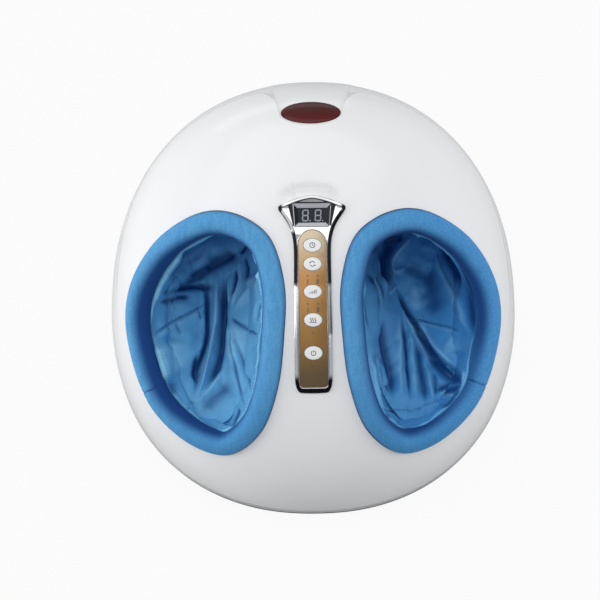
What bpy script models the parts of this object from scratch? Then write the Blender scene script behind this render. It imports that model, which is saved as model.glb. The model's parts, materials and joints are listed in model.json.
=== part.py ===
# Shiatsu foot massager: a domed shell with two padded foot wells, a control strip
# between them and, under each foot, a motor whose worm turns two kneading heads.
# The origin is on the floor under the middle, +Z up, the heels at -Y, the toes at +Y.
import math

import bmesh
import bpy
from mathutils import Matrix, Vector

# Dome of the upper shell
SHELL_WIDTH = 0.410
SHELL_DEPTH = 0.420
CROWN_HEIGHT = 0.2165
CROWN_SLOPE_SHARE = 0.30
PLAN_POWER_SHARE = 2.2
SIDE_POWER_SHARE = 2.7
SEAM_HEIGHT = 0.020
SHELL_WALL = 0.003
CLEARANCE = 0.0003
OVERRUN = 0.005
SINK = 0.0004
CUT_PHASE_SHARE = 0.37

# Step between the raised face and the shoulder band behind it
CREASE_STEP = 0.0016
CREASE_RUN = 0.0022
CREASE_SHARE = 0.955
CREASE_FADE_FROM = 0.020
CREASE_FADE_TO = -0.060
GRID_CENTRE_Y = -0.060
TONGUE_MARGIN = 0.0065
NOTCH_INNER_DEG = 11.0
NOTCH_OUTER_DEG = 13.4
NOTCH_STEPS = 3
SHELL_STEPS = 40
LINING_STEPS = 32
FACE_CORE_SHARE = 0.70
FACE_CORE_OPENING_DEG = 60.0
FACE_CORE_POWER_SHARE = 3
FACE_RING_SHARES = (0.24, 0.44, 0.60, 0.73, 0.83, 0.91, 0.96, 1.0)
BAND_RING_SHARES = (0.20, 0.42, 0.62, 0.80, 0.94, 1.0)
LINING_RING_SHARES = (0.34, 0.58, 0.76, 0.89, 0.97, 0.9975, 1.0)

# Foot mouths, measured on the plan: margins to the shell's side, front and rear and to its middle
MOUTH_SIDE_MARGIN = 0.02805
MOUTH_MIDDLE_MARGIN = 0.02545
MOUTH_FRONT_MARGIN = 0.036
MOUTH_REAR_MARGIN = 0.181
MOUTH_WIDTH = SHELL_WIDTH / 2 - MOUTH_SIDE_MARGIN - MOUTH_MIDDLE_MARGIN
MOUTH_LENGTH = SHELL_DEPTH - MOUTH_FRONT_MARGIN - MOUTH_REAR_MARGIN
MOUTH_CENTRE_X = MOUTH_MIDDLE_MARGIN + MOUTH_WIDTH / 2
MOUTH_CENTRE_Y = MOUTH_FRONT_MARGIN + MOUTH_LENGTH / 2 - SHELL_DEPTH / 2
MOUTH_STEPS = 32
MOUTH_SHARES = (
    (-0.19, 1.0), (-0.584, 0.887), (-0.861, 0.680), (-1.0, 0.296), (-0.987, -0.099),
    (-0.90, -0.532), (-0.677, -0.867), (-0.254, -1.0), (0.287, -0.828), (0.749, -0.453),
    (0.987, 0.0985), (0.947, 0.512), (0.644, 0.818), (0.208, 0.975),
)
MOUTH_CUT_DEPTH = 0.012
MOUTH_CUT_RISE = 0.015
MOUTH_CUT_CROWN = 0.030

# Rim pads: the section runs inwards from the mouth's edge, up by the crown and down by the depth
PAD_GAP = 0.0006
PAD_WIDTH = 0.0212
PAD_CROWN = 0.0046
PAD_DEPTH = 0.0135
PAD_SECTION_SHARES = (
    (0.0, -0.42), (0.0, 0.0), (0.10, 0.62), (0.34, 1.0), (0.66, 0.95), (0.90, 0.35),
    (1.0, -0.40), (0.93, -0.86), (0.76, -1.0), (0.28, -0.60),
)

# Liner frames: the plastic rings under the pads
FRAME_OUTWARD = 0.0045
FRAME_INWARD = 0.0122
FRAME_DROP = 0.0062
FRAME_THICKNESS = 0.0022
FRAME_FALL_SHARE = 0.34
FRAME_EDGE_SHARE = 1.5

# Foot modules: each footbed and its gearbox tilt together, toes up
FOOT_INSET = 0.0022
FOOT_X = MOUTH_CENTRE_X - FOOT_INSET
FOOT_Y = -0.010
FOOT_Z = 0.0545
FOOT_TILT_DEG = 6.0
BED_WIDTH = 0.104
BED_FRONT_MARGIN = 0.068
BED_REAR_MARGIN = 0.092
BED_HEEL_Y = BED_FRONT_MARGIN - SHELL_DEPTH / 2 - FOOT_Y
BED_TOE_Y = SHELL_DEPTH / 2 - BED_REAR_MARGIN - FOOT_Y
BED_HEEL_SHARE = 0.84
BED_ROUND_SHARE = 0.78
BED_STEPS = 20
BED_THICKNESS = 0.003
BED_RIM_HEIGHT = 0.011
BED_RIM_LEAN = 0.0025
BED_RIM_WALL = 0.0022
BED_FILLET = 0.004
BED_POST_RADIUS = 0.0045
BED_POST_SIDE_INSET = 0.014
BED_POST_END_INSET = 0.028
BED_POST_X = BED_WIDTH / 2 - BED_POST_SIDE_INSET
BED_POST_HEEL_Y = BED_HEEL_Y + BED_POST_END_INSET
BED_POST_TOE_Y = BED_TOE_Y - BED_POST_END_INSET
BED_POST_STEPS = 8

# Foot liners: bags from the pads down to the kneading heads, their soles inside the footbeds
LINER_START = 0.0180
LINER_THICKNESS = 0.0014
LINER_ROWS = 7
LINER_FLOOR = 0.0228
LINER_SIDE_GAP = 0.006
LINER_HEEL_GAP = 0.005
LINER_TOE_GAP = 0.009
LINER_FLOOR_WIDTH = BED_WIDTH - LINER_SIDE_GAP * 2
LINER_FLOOR_LENGTH = BED_TOE_Y - BED_HEEL_Y - LINER_HEEL_GAP - LINER_TOE_GAP
LINER_FLOOR_MIDDLE = BED_HEEL_Y + LINER_HEEL_GAP + LINER_FLOOR_LENGTH / 2
LINER_FLOOR_POWER_SHARE = 2.4
LINER_DROP = 0.026
LINER_RISE = 0.048
LINER_HEEL_RISE_SHARE = 0.45
LINER_BULGE = 0.010
LINER_FOLD_DEPTH = 0.0032
LINER_FOLDS = 7
LINER_FOLD_TURN_SHARE = 1.3

# Kneading heads
HEAD_RADIUS = 0.025
HEAD_THICKNESS = 0.006
HEAD_LIFT = 0.0016
HEAD_ROUND = 0.0015
HEAD_STEPS = 12
NODE_COUNT = 3
NODE_RADIUS = 0.0085
NODE_ORBIT = 0.0152
NODE_TOP = 0.0205
NODE_RING_SHARES = (0.45, 0.85)
NODE_POWER_SHARE = 2.6
NODE_TIP_SHARE = 0.12
NODE_STEPS = 8
SPINDLE_RADIUS = 0.003
SPINDLE_STEPS = 8
SPINDLE_PLAY = 0.0003

# Worm gears
GEAR_MODULE = 0.0028
GEAR_TEETH = 16
GEAR_FACE = 0.008
WORM_PITCH_RADIUS = 0.0062
GEAR_TOOTH_SHARE = 0.43
GEAR_ADDENDUM_SHARE = 0.95
GEAR_DEDENDUM_SHARE = 1.25
GEAR_FLANK_DEG = 20.0
GEAR_HUB_RADIUS = 0.0065
WORM_LENGTH = 0.025
WORM_STEPS = 10
WORM_CORE_STEPS = 8
WORM_END_TURNS_SHARE = 0.3
WORM_SHAFT_RADIUS = 0.0024
WORM_SHAFT_FREE_END = 0.0278
WORM_SHAFT_MOTOR_END = 0.0355
WORM_AXIS_DROP = 0.020

# Gearboxes
BOX_HALF_WIDTH = 0.0286
BOX_WALL = 0.0024
BOX_COVER = 0.0024
BOX_FLOOR = 0.0024
BOX_END_STEPS = 6
BOX_BOSS_RADIUS = 0.0055
BOX_BEARING_WALL = 0.002
HUB_REACH = 0.0135
SPINDLE_SEAT = 0.0015

# Kneading motors
MOTOR_RADIUS = 0.014
MOTOR_LENGTH = 0.037
MOTOR_STEPS = 12
MOTOR_ROUND = 0.0015
MOTOR_TAIL_RADIUS = 0.0052
MOTOR_TAIL_LENGTH = 0.002
MOTOR_BORE_DEPTH = 0.0085
MOTOR_TAG_WIDTH = 0.003
MOTOR_TAG_THICKNESS = 0.0006
MOTOR_TAG_LENGTH = 0.005
MOTOR_TAG_OFFSET = 0.009

# Lower shell
TRAY_INSET = 0.0012
TRAY_BOTTOM = 0.0040
TRAY_FLOOR = 0.0025
TRAY_CHAMFER_INSET = 0.0045
TRAY_CHAMFER_HEIGHT = 0.0062
TRAY_SIDE_HEIGHT = 0.0120
TRAY_EDGE_INSET = 0.0120
TRAY_FLOOR_INSET = 0.0140
TRAY_LIP_HEIGHT = 0.0300
TRAY_LIP_WALL = 0.0022
VENT_COUNT = 4
VENT_LENGTH = 0.044
VENT_WIDTH = 0.0032
VENT_PITCH = 0.0085
VENT_REAR_MARGIN = 0.1145
VENT_END_STEPS = 2

# Screws that hold the shells together
SCREW_PLACES_SHARES = ((0.293, 0.81), (0.868, 0.152), (0.117, -0.886))
POST_RADIUS = 0.0055
POST_TOP = 0.045
POST_STEPS = 8
BOSS_RADIUS = 0.0050
BOSS_WALL_SHARE = 0.6
SCREW_HEAD_RADIUS = 0.0033
SCREW_HEAD_HEIGHT = 0.0026
SCREW_SHANK_RADIUS = 0.0016
SCREW_LENGTH = 0.022
SCREW_SEAT = 0.008
SCREW_STEPS = 8

# Rubber feet
FOOT_PAD_RADIUS = 0.011
FOOT_PAD_HEIGHT = 0.0075
FOOT_PAD_ROUND = 0.0015
FOOT_PAD_SIDE_MARGIN = 0.085
FOOT_PAD_END_MARGIN = 0.090
FOOT_PAD_WALL = 0.002
FOOT_PAD_STEPS = 12

MITRE_SHARE = 0.5

# Control strip: half widths along its length, both as shares
PANEL_TOP_Y = 0.0377
PANEL_BOTTOM_Y = -0.1315
PANEL_HEAD_WIDTH = 0.0620
PANEL_SHARES = (
    (0.0, 0.36), (0.010, 0.46), (0.045, 0.542), (0.15, 0.536), (0.265, 0.527), (0.375, 0.515),
    (0.482, 0.503), (0.585, 0.494), (0.689, 0.487), (0.755, 0.502), (0.812, 0.575),
    (0.860, 0.710), (0.900, 0.885), (0.931, 1.0), (0.948, 0.950), (0.968, 0.690), (0.988, 0.38),
    (1.0, 0.09),
)
BEZEL_SEAT = 0.0005
BEZEL_RISE = 0.0028
BEZEL_EDGE = 0.0010
BEZEL_BEVEL = 0.0010
BEZEL_RIM = 0.0023
BEZEL_FLOOR = 0.0008
BEZEL_FLANGE = 0.0026
BEZEL_CORE = 0.0060
BEZEL_POST_RADIUS = 0.0022
BEZEL_POST_YS_SHARES = (0.565, 0.269)
PLATE_WIDTH = 0.0248
PLATE_TOP_Y = 0.0060
PLATE_BOTTOM_Y = -0.1265
PLATE_THICKNESS = 0.0020
PLATE_BEVEL = 0.0004
PLATE_CORNER = 0.003
PLATE_STATIONS = 9
PLATE_END_STEPS = 5
PLATE_TOP_GAP_SHARE = 0.35

# Display
WINDOW_TOP_Y = 0.0298
WINDOW_BOTTOM_Y = 0.0092
WINDOW_TOP_WIDTH = 0.0400
WINDOW_BOTTOM_WIDTH = 0.0300
WINDOW_CORNER = 0.0015
WINDOW_THICKNESS = 0.0015
DISPLAY_WIDTH = 0.0252
DISPLAY_LENGTH = 0.0165
DISPLAY_Y = 0.0195
DISPLAY_HEIGHT = 0.0140

# Buttons, from the head of the strip down
BUTTON_NAMES = ("timer_button", "mode_button", "intensity_button", "heat_button", "power_button")
BUTTON_PITCHES = (0.0137, 0.0164, 0.0240, 0.0240, 0.0274)
BUTTON_WIDTH = 0.0164
BUTTON_LENGTH = 0.0124
BUTTON_GAP = 0.00035
BUTTON_RISE = 0.0010
BUTTON_CROWN = 0.0006
BUTTON_CROWN_SHARE = 0.84
BUTTON_FLANGE = 0.0009
BUTTON_FLANGE_THICKNESS = 0.0012
BUTTON_STEM_RADIUS = 0.0018
BUTTON_TRAVEL = 0.0010
BUTTON_STEPS = 12

# Control board under the strip
BOARD_THICKNESS = 0.0016
BOARD_WIDTH = 0.026
BOARD_TOP_Y = 0.0310
BOARD_BOTTOM_Y = -0.1200
BOARD_DEPTH_TOP = 0.0200
BOARD_DEPTH_BOTTOM = 0.0170
SWITCH_WIDTH = 0.006
SWITCH_HEIGHT = 0.0036
PLUNGER_RADIUS = 0.0017
PLUNGER_HEIGHT = 0.0012
PLUNGER_STEPS = 8

# Indicator lens and the receiver board under it
LENS_REAR_MARGIN = 0.086
LENS_Y = SHELL_DEPTH / 2 - LENS_REAR_MARGIN
LENS_WIDTH = 0.0560
LENS_LENGTH = 0.0275
LENS_RISE = 0.0003
LENS_CROWN = 0.0012
LENS_EDGE = 0.0022
LENS_EDGE_RISE_SHARE = 0.62
LENS_FACE_SHARE = 3.2
LENS_WALL = 0.0020
LENS_SKIRT = 0.0060
LENS_STEPS = 20
RECEIVER_EYE_RADIUS = 0.0030
RECEIVER_EYE_HEIGHT = 0.0040

# Airbags over the toes
AIRBAG_INSET = 0.0082
AIRBAG_MOUTH_GAP = 0.017
AIRBAG_WIDTH = 0.088
AIRBAG_LENGTH = 0.066
AIRBAG_X = MOUTH_CENTRE_X - AIRBAG_INSET
AIRBAG_Y = SHELL_DEPTH / 2 - MOUTH_REAR_MARGIN + AIRBAG_MOUTH_GAP + AIRBAG_LENGTH / 2
AIRBAG_THICKNESS = 0.013
AIRBAG_SEAM = 0.0012
AIRBAG_GAP = 0.0038
AIRBAG_STEPS = 16
AIRBAG_RING_SHARES = (0.45, 0.82, 1.0)
AIRBAG_FULL_SHARE = 2.4
NIPPLE_RADIUS = 0.0030
NIPPLE_LENGTH = 0.013
NIPPLE_OUT_SHARE = 0.4
NIPPLE_DROP = 0.0105
NIPPLE_INSET = 0.015
NIPPLE_X = AIRBAG_X - NIPPLE_INSET

# Air pump, valve and hoses
PUMP_REAR_MARGIN = 0.044
PUMP_Y = SHELL_DEPTH / 2 - PUMP_REAR_MARGIN
PUMP_WIDTH = 0.034
PUMP_DEPTH = 0.024
PUMP_HEIGHT = 0.030
PUMP_MOTOR_RADIUS = 0.0115
PUMP_MOTOR_HEIGHT = 0.026
VALVE_PUMP_GAP = 0.008
VALVE_WIDTH = 0.022
VALVE_DEPTH = 0.016
VALVE_Y = PUMP_Y - PUMP_DEPTH / 2 - VALVE_PUMP_GAP - VALVE_DEPTH / 2
VALVE_HEIGHT = 0.014
VALVE_LIFT = 0.016
VALVE_SPOUT_RADIUS = 0.0026
VALVE_SPOUT_LENGTH = 0.006
HOSE_RADIUS = 0.0027
HOSE_LEAD = 0.0054
HOSE_POINTS = 14
HOSE_SPAN_Y = 0.024
HOSE_ROUTE_SHARES = (
    (0.0, 0.0, 0.0), (0.14, 0.03, 0.01), (0.40, 0.30, 0.09), (0.62, 0.62, 0.28),
    (0.80, 0.76, 0.54), (0.95, 0.66, 0.82), (1.0, 0.30, 0.97), (1.0, 0.0, 1.0),
)

# Heat pads on the footbeds
HEAT_WIDTH = 0.060
HEAT_LENGTH = 0.042
HEAT_TOE_GAP = 0.028
HEAT_Y = BED_TOE_Y - HEAT_TOE_GAP - HEAT_LENGTH / 2
HEAT_THICKNESS = 0.0010
HEAT_CORNER = 0.006

# Main board
MAIN_WIDTH = 0.052
MAIN_LENGTH = 0.086
MAIN_VALVE_GAP = 0.009
MAIN_Y = VALVE_Y - VALVE_DEPTH / 2 - MAIN_VALVE_GAP - MAIN_LENGTH / 2
MAIN_LIFT = 0.008
CAPACITOR_RADIUS = 0.005
CAPACITOR_HEIGHT = 0.014
TRANSFORMER_WIDTH = 0.022
TRANSFORMER_LENGTH = 0.020
TRANSFORMER_HEIGHT = 0.018
SINK_FINS = 5
SINK_FIN_PITCH = 0.0032
SINK_FIN_THICKNESS = 0.0012
SINK_FIN_LENGTH = 0.022
SINK_FIN_LENGTH_SHARE = 0.96
SINK_FIN_HEIGHT = 0.014
STANDOFF_RADIUS = 0.0030

# Power inlet at the back
INLET_WIDTH = 0.0270
INLET_HEIGHT = 0.0180
INLET_Z = 0.0440
INLET_DEPTH = 0.0170
INLET_FACE_INSET = 0.0012
INLET_FLANGE = 0.0028
INLET_FLANGE_THICKNESS = 0.0024
INLET_SEAT = 0.0024
SOCKET_WIDTH = 0.0160
SOCKET_HEIGHT = 0.0076
SOCKET_DEPTH = 0.0120
SOCKET_END_STEPS = 4
PIN_SPACING = 0.0086
PIN_RADIUS = 0.0012
PIN_INSET = 0.0020

FULL_TURN = 2 * math.pi
SIDES = (("left", -1), ("right", 1))


def clear_scene():
    for obj in list(bpy.data.objects):
        bpy.data.objects.remove(obj, do_unlink=True)


def material(name, colour, roughness, metallic=0.0):
    slot = bpy.data.materials.new(name)
    slot.use_nodes = True
    shader = slot.node_tree.nodes["Principled BSDF"]
    shader.inputs["Base Color"].default_value = (*colour, 1.0)
    shader.inputs["Roughness"].default_value = roughness
    shader.inputs["Metallic"].default_value = metallic
    slot.diffuse_color = (*colour, 1.0)
    return slot


def smooth_step(value):
    value = min(1.0, max(0.0, value))
    return value * value * (3 - 2 * value)


def lerp(start, end, share):
    return start + (end - start) * share


# Shape helpers

def finish(name, shape, slot=None):
    bmesh.ops.recalc_face_normals(shape, faces=shape.faces)
    bmesh.ops.triangulate(shape, faces=shape.faces, quad_method="SHORT_EDGE", ngon_method="BEAUTY")
    mesh = bpy.data.meshes.new(name)
    shape.to_mesh(mesh)
    shape.free()
    obj = bpy.data.objects.new(name, mesh)
    bpy.context.scene.collection.objects.link(obj)
    if slot:
        mesh.materials.append(slot)
    return obj


def loft(name, rows, wrap=False, tips=(None, None), slot=None):
    """Closed solid over rows of equally many points. A tip is a point that closes an end as a fan."""
    shape = bmesh.new()
    rings = [[shape.verts.new(point) for point in row] for row in rows]
    pairs = list(zip(rings, rings[1:]))
    if wrap:
        pairs.append((rings[-1], rings[0]))
    for low, high in pairs:
        for i in range(len(low)):
            j = (i + 1) % len(low)
            shape.faces.new((low[i], low[j], high[j], high[i]))
    if not wrap:
        for ring, tip in ((rings[0], tips[0]), (rings[-1], tips[1])):
            if tip is None:
                shape.faces.new(ring)
                continue
            middle = shape.verts.new(tip)
            for i in range(len(ring)):
                shape.faces.new((ring[i], ring[(i + 1) % len(ring)], middle))
    return finish(name, shape, slot)


def prism(name, outline, low, high, slot=None):
    return loft(name, [[(x, y, z) for x, y in outline] for z in (low, high)], slot=slot)


def turned(name, profile, steps, slot=None, phase=0.0):
    """Solid turned about Z from (radius, height) pairs, closed by flat ends, its points phase steps on."""
    rows = []
    for radius, height in profile:
        angles = [FULL_TURN * (i + phase) / steps for i in range(steps)]
        rows.append([(radius * math.cos(a), radius * math.sin(a), height) for a in angles])
    return loft(name, rows, slot=slot)


def clear_of(radius, steps):
    """Radius of the points of a round cutter whose flats clear a radius."""
    return radius / math.cos(math.pi / steps)


def oval(half_width, half_length, steps):
    angles = [FULL_TURN * i / steps for i in range(steps)]
    return [(half_width * math.cos(a), half_length * math.sin(a)) for a in angles]


def capsule(half_width, half_length, steps):
    """Outline with round ends at +Y and -Y."""
    straight = half_length - half_width
    points = []
    for end in (1, -1):
        for i in range(steps + 1):
            angle = math.pi * i / steps
            points.append((
                end * half_width * math.cos(angle),
                end * (straight + half_width * math.sin(angle)),
            ))
    return points


def rounded_box(half_width, half_length, corner, steps=3):
    points = []
    for turn, (sx, sy) in enumerate(((1, 1), (-1, 1), (-1, -1), (1, -1))):
        for i in range(steps + 1):
            angle = math.pi / 2 * (turn + i / steps)
            points.append((
                sx * (half_width - corner) + corner * math.cos(angle),
                sy * (half_length - corner) + corner * math.sin(angle),
            ))
    return points


def block(name, width, length, low, high, slot=None):
    x, y = width / 2, length / 2
    return prism(name, [(x, y), (-x, y), (-x, -y), (x, -y)], low, high, slot)


def moved(obj, place=(0, 0, 0), turn=None):
    """The object with its mesh turned by a matrix and then moved, its origin left where it was."""
    matrix = Matrix.Translation(place)
    if turn is not None:
        matrix = matrix @ turn.to_4x4()
    obj.data.transform(matrix)
    return obj


def mirrored(obj):
    obj.data.transform(Matrix.Scale(-1, 4, (1, 0, 0)))
    obj.data.flip_normals()
    return obj


def combine(target, tools, operation="DIFFERENCE"):
    """Applies each tool to the target by a Boolean and removes it."""
    for tool in tools:
        tool.hide_render = True
        tool.display_type = "WIRE"
        change = target.modifiers.new(tool.name, "BOOLEAN")
        change.operation = operation
        change.solver = "EXACT"
        change.object = tool
        graph = bpy.context.evaluated_depsgraph_get()
        shape = bmesh.new()
        shape.from_mesh(bpy.data.meshes.new_from_object(target.evaluated_get(graph)))
        bmesh.ops.triangulate(shape, faces=shape.faces, ngon_method="BEAUTY")
        target.modifiers.clear()
        target.data = bpy.data.meshes.new(target.name)
        shape.to_mesh(target.data)
        shape.free()
        bpy.data.objects.remove(tool, do_unlink=True)
    return target


def place(obj, location=(0, 0, 0), turn_x=0.0, parent=None):
    obj.location = location
    obj.rotation_euler = (turn_x, 0, 0)
    obj.parent = parent
    return obj


def shade(obj, slot, angle_deg=32):
    obj.data.materials.clear()
    obj.data.materials.append(slot)
    obj.data.shade_smooth()
    obj.data.set_sharp_from_angle(angle=math.radians(angle_deg))
    return obj


def turn_about(axis, angle):
    return Matrix.Rotation(angle, 3, axis)


# The dome's surface

def plan_share(x, y, inset=0.0):
    """How far out on the plan a point lies: 0 in the middle, 1 on the outline."""
    across = abs(x) / (SHELL_WIDTH / 2 - inset)
    along = abs(y) / (SHELL_DEPTH / 2 - inset)
    power = PLAN_POWER_SHARE
    return (across ** power + along ** power) ** (1 / power)


def crown_rise(y, inset=0.0):
    return CROWN_HEIGHT - inset + CROWN_SLOPE_SHARE * y - SEAM_HEIGHT


def dome_height(x, y, inset=0.0):
    share = min(1.0, plan_share(x, y, inset))
    fullness = (1 - share ** SIDE_POWER_SHARE) ** (1 / SIDE_POWER_SHARE)
    return SEAM_HEIGHT + crown_rise(y, inset) * fullness


def dome_normal(x, y, inset=0.0):
    half_x = SHELL_WIDTH / 2 - inset
    half_y = SHELL_DEPTH / 2 - inset
    share = max(1e-9, min(1.0, plan_share(x, y, inset)))
    level = (1 - share ** SIDE_POWER_SHARE) ** (1 / SIDE_POWER_SHARE)
    rise = crown_rise(y, inset)
    plan, side = PLAN_POWER_SHARE, SIDE_POWER_SHARE
    outward = side * share ** (side - plan)
    along_x = outward * math.copysign(abs(x / half_x) ** (plan - 1), x) / half_x
    along_y = outward * math.copysign(abs(y / half_y) ** (plan - 1), y) / half_y
    upward = side * level ** (side - 1) / rise
    along_y -= side * level ** side * CROWN_SLOPE_SHARE / rise
    return Vector((along_x, along_y, upward)).normalized()


def dome_point(x, y, inset=0.0):
    return Vector((x, y, dome_height(x, y, inset)))


def reach(angle, share, inset=0.0):
    """Distance on the plan from the grid's centre to where the plan share is reached."""
    low, high = 0.0, SHELL_WIDTH + SHELL_DEPTH
    for _ in range(50):
        middle = (low + high) / 2
        x = middle * math.cos(angle)
        y = GRID_CENTRE_Y + middle * math.sin(angle)
        if plan_share(x, y, inset) < share:
            low = middle
        else:
            high = middle
    return low


def tongue_reach(angle):
    """Distance from the grid's centre to the near side of the oval round the lens."""
    half_width = LENS_WIDTH / 2 + TONGUE_MARGIN
    half_length = LENS_LENGTH / 2 + TONGUE_MARGIN
    centre = LENS_Y - GRID_CENTRE_Y
    across, along = math.cos(angle) / half_width, math.sin(angle) / half_length
    a = across ** 2 + along ** 2
    b = -2 * along * centre / half_length
    c = (centre / half_length) ** 2 - 1
    inside = max(0.0, b * b - 4 * a * c)
    return (-b - math.sqrt(inside)) / (2 * a)


def crease_reach(angle):
    band = reach(angle, CREASE_SHARE)
    off_deg = abs(math.degrees(angle) - 90)
    if off_deg >= NOTCH_OUTER_DEG:
        return band
    blend = smooth_step((off_deg - NOTCH_INNER_DEG) / (NOTCH_OUTER_DEG - NOTCH_INNER_DEG))
    return lerp(tongue_reach(angle), band, blend)


def face_distance(angle, crease, share):
    """Ring distance on the raised face: round in the middle, on the crease at share 1."""
    off_deg = abs(math.degrees(angle) - 90)
    opening = smooth_step(min(off_deg, 360 - off_deg) / FACE_CORE_OPENING_DEG)
    core = reach(angle, CREASE_SHARE) * lerp(FACE_CORE_SHARE, 1.0, opening)
    return share * lerp(core, crease, share ** FACE_CORE_POWER_SHARE)


def shell_angles():
    spacing = 360 / SHELL_STEPS
    angles = [spacing * i for i in range(SHELL_STEPS)]
    angles = [a for a in angles if abs(a - 90) > NOTCH_OUTER_DEG + spacing / 3]
    angles.append(90)
    for side in (-1, 1):
        angles.append(90 + side * NOTCH_INNER_DEG / 2)
        for i in range(NOTCH_STEPS + 1):
            off = lerp(NOTCH_INNER_DEG, NOTCH_OUTER_DEG, i / NOTCH_STEPS)
            angles.append(90 + side * off)
    return [math.radians(a) for a in sorted(angles)]


def dome_solid():
    """The outer skin as rings that follow the crease, closed by a flat underside."""
    columns = []
    for angle in shell_angles():
        crease = crease_reach(angle)
        rim = reach(angle, 1.0)
        rim_y = GRID_CENTRE_Y + rim * math.sin(angle)
        fade = smooth_step((rim_y - CREASE_FADE_TO) / (CREASE_FADE_FROM - CREASE_FADE_TO))
        spots = [(face_distance(angle, crease, share), 0.0) for share in FACE_RING_SHARES]
        start = crease + CREASE_RUN
        spots.append((start, CREASE_STEP * fade))
        for share in BAND_RING_SHARES:
            spots.append((lerp(start, rim, share), CREASE_STEP * fade * (1 - share ** 2)))
        column = []
        for distance, depth in spots:
            x = distance * math.cos(angle)
            y = GRID_CENTRE_Y + distance * math.sin(angle)
            column.append(dome_point(x, y) - dome_normal(x, y) * depth)
        column[-1].z = SEAM_HEIGHT
        columns.append(column)
    rows = [list(row) for row in zip(*columns)]
    return loft("upper_shell", rows, tips=(dome_point(0, GRID_CENTRE_Y), None))


def lining_solid():
    """The hollow inside the dome, running down past the seam."""
    rows = []
    angles = [FULL_TURN * i / LINING_STEPS for i in range(LINING_STEPS)]
    for share in LINING_RING_SHARES:
        row = []
        for angle in angles:
            distance = reach(angle, 1.0, SHELL_WALL) * share
            x = distance * math.cos(angle)
            y = GRID_CENTRE_Y + distance * math.sin(angle)
            row.append(dome_point(x, y, SHELL_WALL))
        rows.append(row)
    for point in rows[-1]:
        point.z = SEAM_HEIGHT
    rows.append([Vector((point.x, point.y, SEAM_HEIGHT - OVERRUN)) for point in rows[-1]])
    tip = dome_point(0, GRID_CENTRE_Y, SHELL_WALL)
    return loft("lining", rows, tips=(tip, None))


# The mouths and what follows their edge

def smooth_loop(points, steps):
    """Closed Catmull-Rom curve through the points, cut into steps of equal length."""
    fine = []
    count = len(points)
    for i in range(count):
        before, start, end, after = (Vector(points[(i + k) % count]) for k in (-1, 0, 1, 2))
        for j in range(steps):
            t = j / steps
            fine.append(0.5 * (
                2 * start + (end - before) * t
                + (2 * before - 5 * start + 4 * end - after) * t ** 2
                + (3 * start - before - 3 * end + after) * t ** 3
            ))
    lengths = [0.0]
    for i in range(len(fine)):
        lengths.append(lengths[-1] + (fine[(i + 1) % len(fine)] - fine[i]).length)
    loop = []
    place_in = 0
    for k in range(steps):
        wanted = lengths[-1] * k / steps
        while lengths[place_in + 1] < wanted:
            place_in += 1
        run = lengths[place_in + 1] - lengths[place_in]
        share = (wanted - lengths[place_in]) / run
        loop.append(fine[place_in].lerp(fine[(place_in + 1) % len(fine)], share))
    return loop


def mouth_frames(side):
    """At each point of the mouth's edge: the point, the way inwards, the normal, its share pair."""
    loop = smooth_loop(MOUTH_SHARES, MOUTH_STEPS)
    edge = []
    for share in loop:
        x = side * (MOUTH_CENTRE_X + share.x * MOUTH_WIDTH / 2)
        y = MOUTH_CENTRE_Y + share.y * MOUTH_LENGTH / 2
        edge.append(dome_point(x, y))
    middle = dome_point(side * MOUTH_CENTRE_X, MOUTH_CENTRE_Y)
    frames = []
    for i, point in enumerate(edge):
        along = edge[(i + 1) % MOUTH_STEPS] - edge[i - 1]
        normal = dome_normal(point.x, point.y)
        inward = normal.cross(along).normalized()
        if inward.dot(middle - point) < 0:
            inward.negate()
        frames.append((point, inward, normal, loop[i]))
    return frames


def rim_ring(name, frames, section):
    """Ring swept round a mouth: each section point is (distance inwards, height)."""
    rows = []
    for inwards, height in section:
        rows.append([p + inward * inwards + n * height for p, inward, n, _ in frames])
    return loft(name, rows, wrap=True)


def mouth_cutter(side):
    frames = mouth_frames(side)
    low = [p - n * MOUTH_CUT_DEPTH for p, _, n, _ in frames]
    high = [p + n * MOUTH_CUT_RISE for p, _, n, _ in frames]
    centre = dome_point(side * MOUTH_CENTRE_X, MOUTH_CENTRE_Y)
    up = dome_normal(side * MOUTH_CENTRE_X, MOUTH_CENTRE_Y)
    tips = (centre - up * MOUTH_CUT_CROWN, centre + up * MOUTH_CUT_CROWN)
    return loft("mouth_cut", [low, high], tips=tips)


def rim_pad(name, side):
    section = []
    for inwards, height in PAD_SECTION_SHARES:
        rise = height * (PAD_CROWN if height > 0 else PAD_DEPTH)
        section.append((PAD_GAP + inwards * PAD_WIDTH, rise))
    return shade(rim_ring(name, mouth_frames(side), section), BLUE_PAD, 60)


def liner_frame(name, side):
    fall = (FRAME_INWARD + FRAME_OUTWARD) * FRAME_FALL_SHARE
    top = -FRAME_DROP
    section = (
        (-FRAME_OUTWARD, top),
        (FRAME_INWARD, top - fall),
        (FRAME_INWARD, top - fall - FRAME_THICKNESS),
        (-FRAME_OUTWARD, top - FRAME_THICKNESS * FRAME_EDGE_SHARE),
    )
    return shade(rim_ring(name, mouth_frames(side), section), GREY_PLASTIC)


def module_matrix(side):
    turn = Matrix.Rotation(math.radians(FOOT_TILT_DEG), 4, "X")
    return Matrix.Translation((side * FOOT_X, FOOT_Y, FOOT_Z)) @ turn


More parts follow.
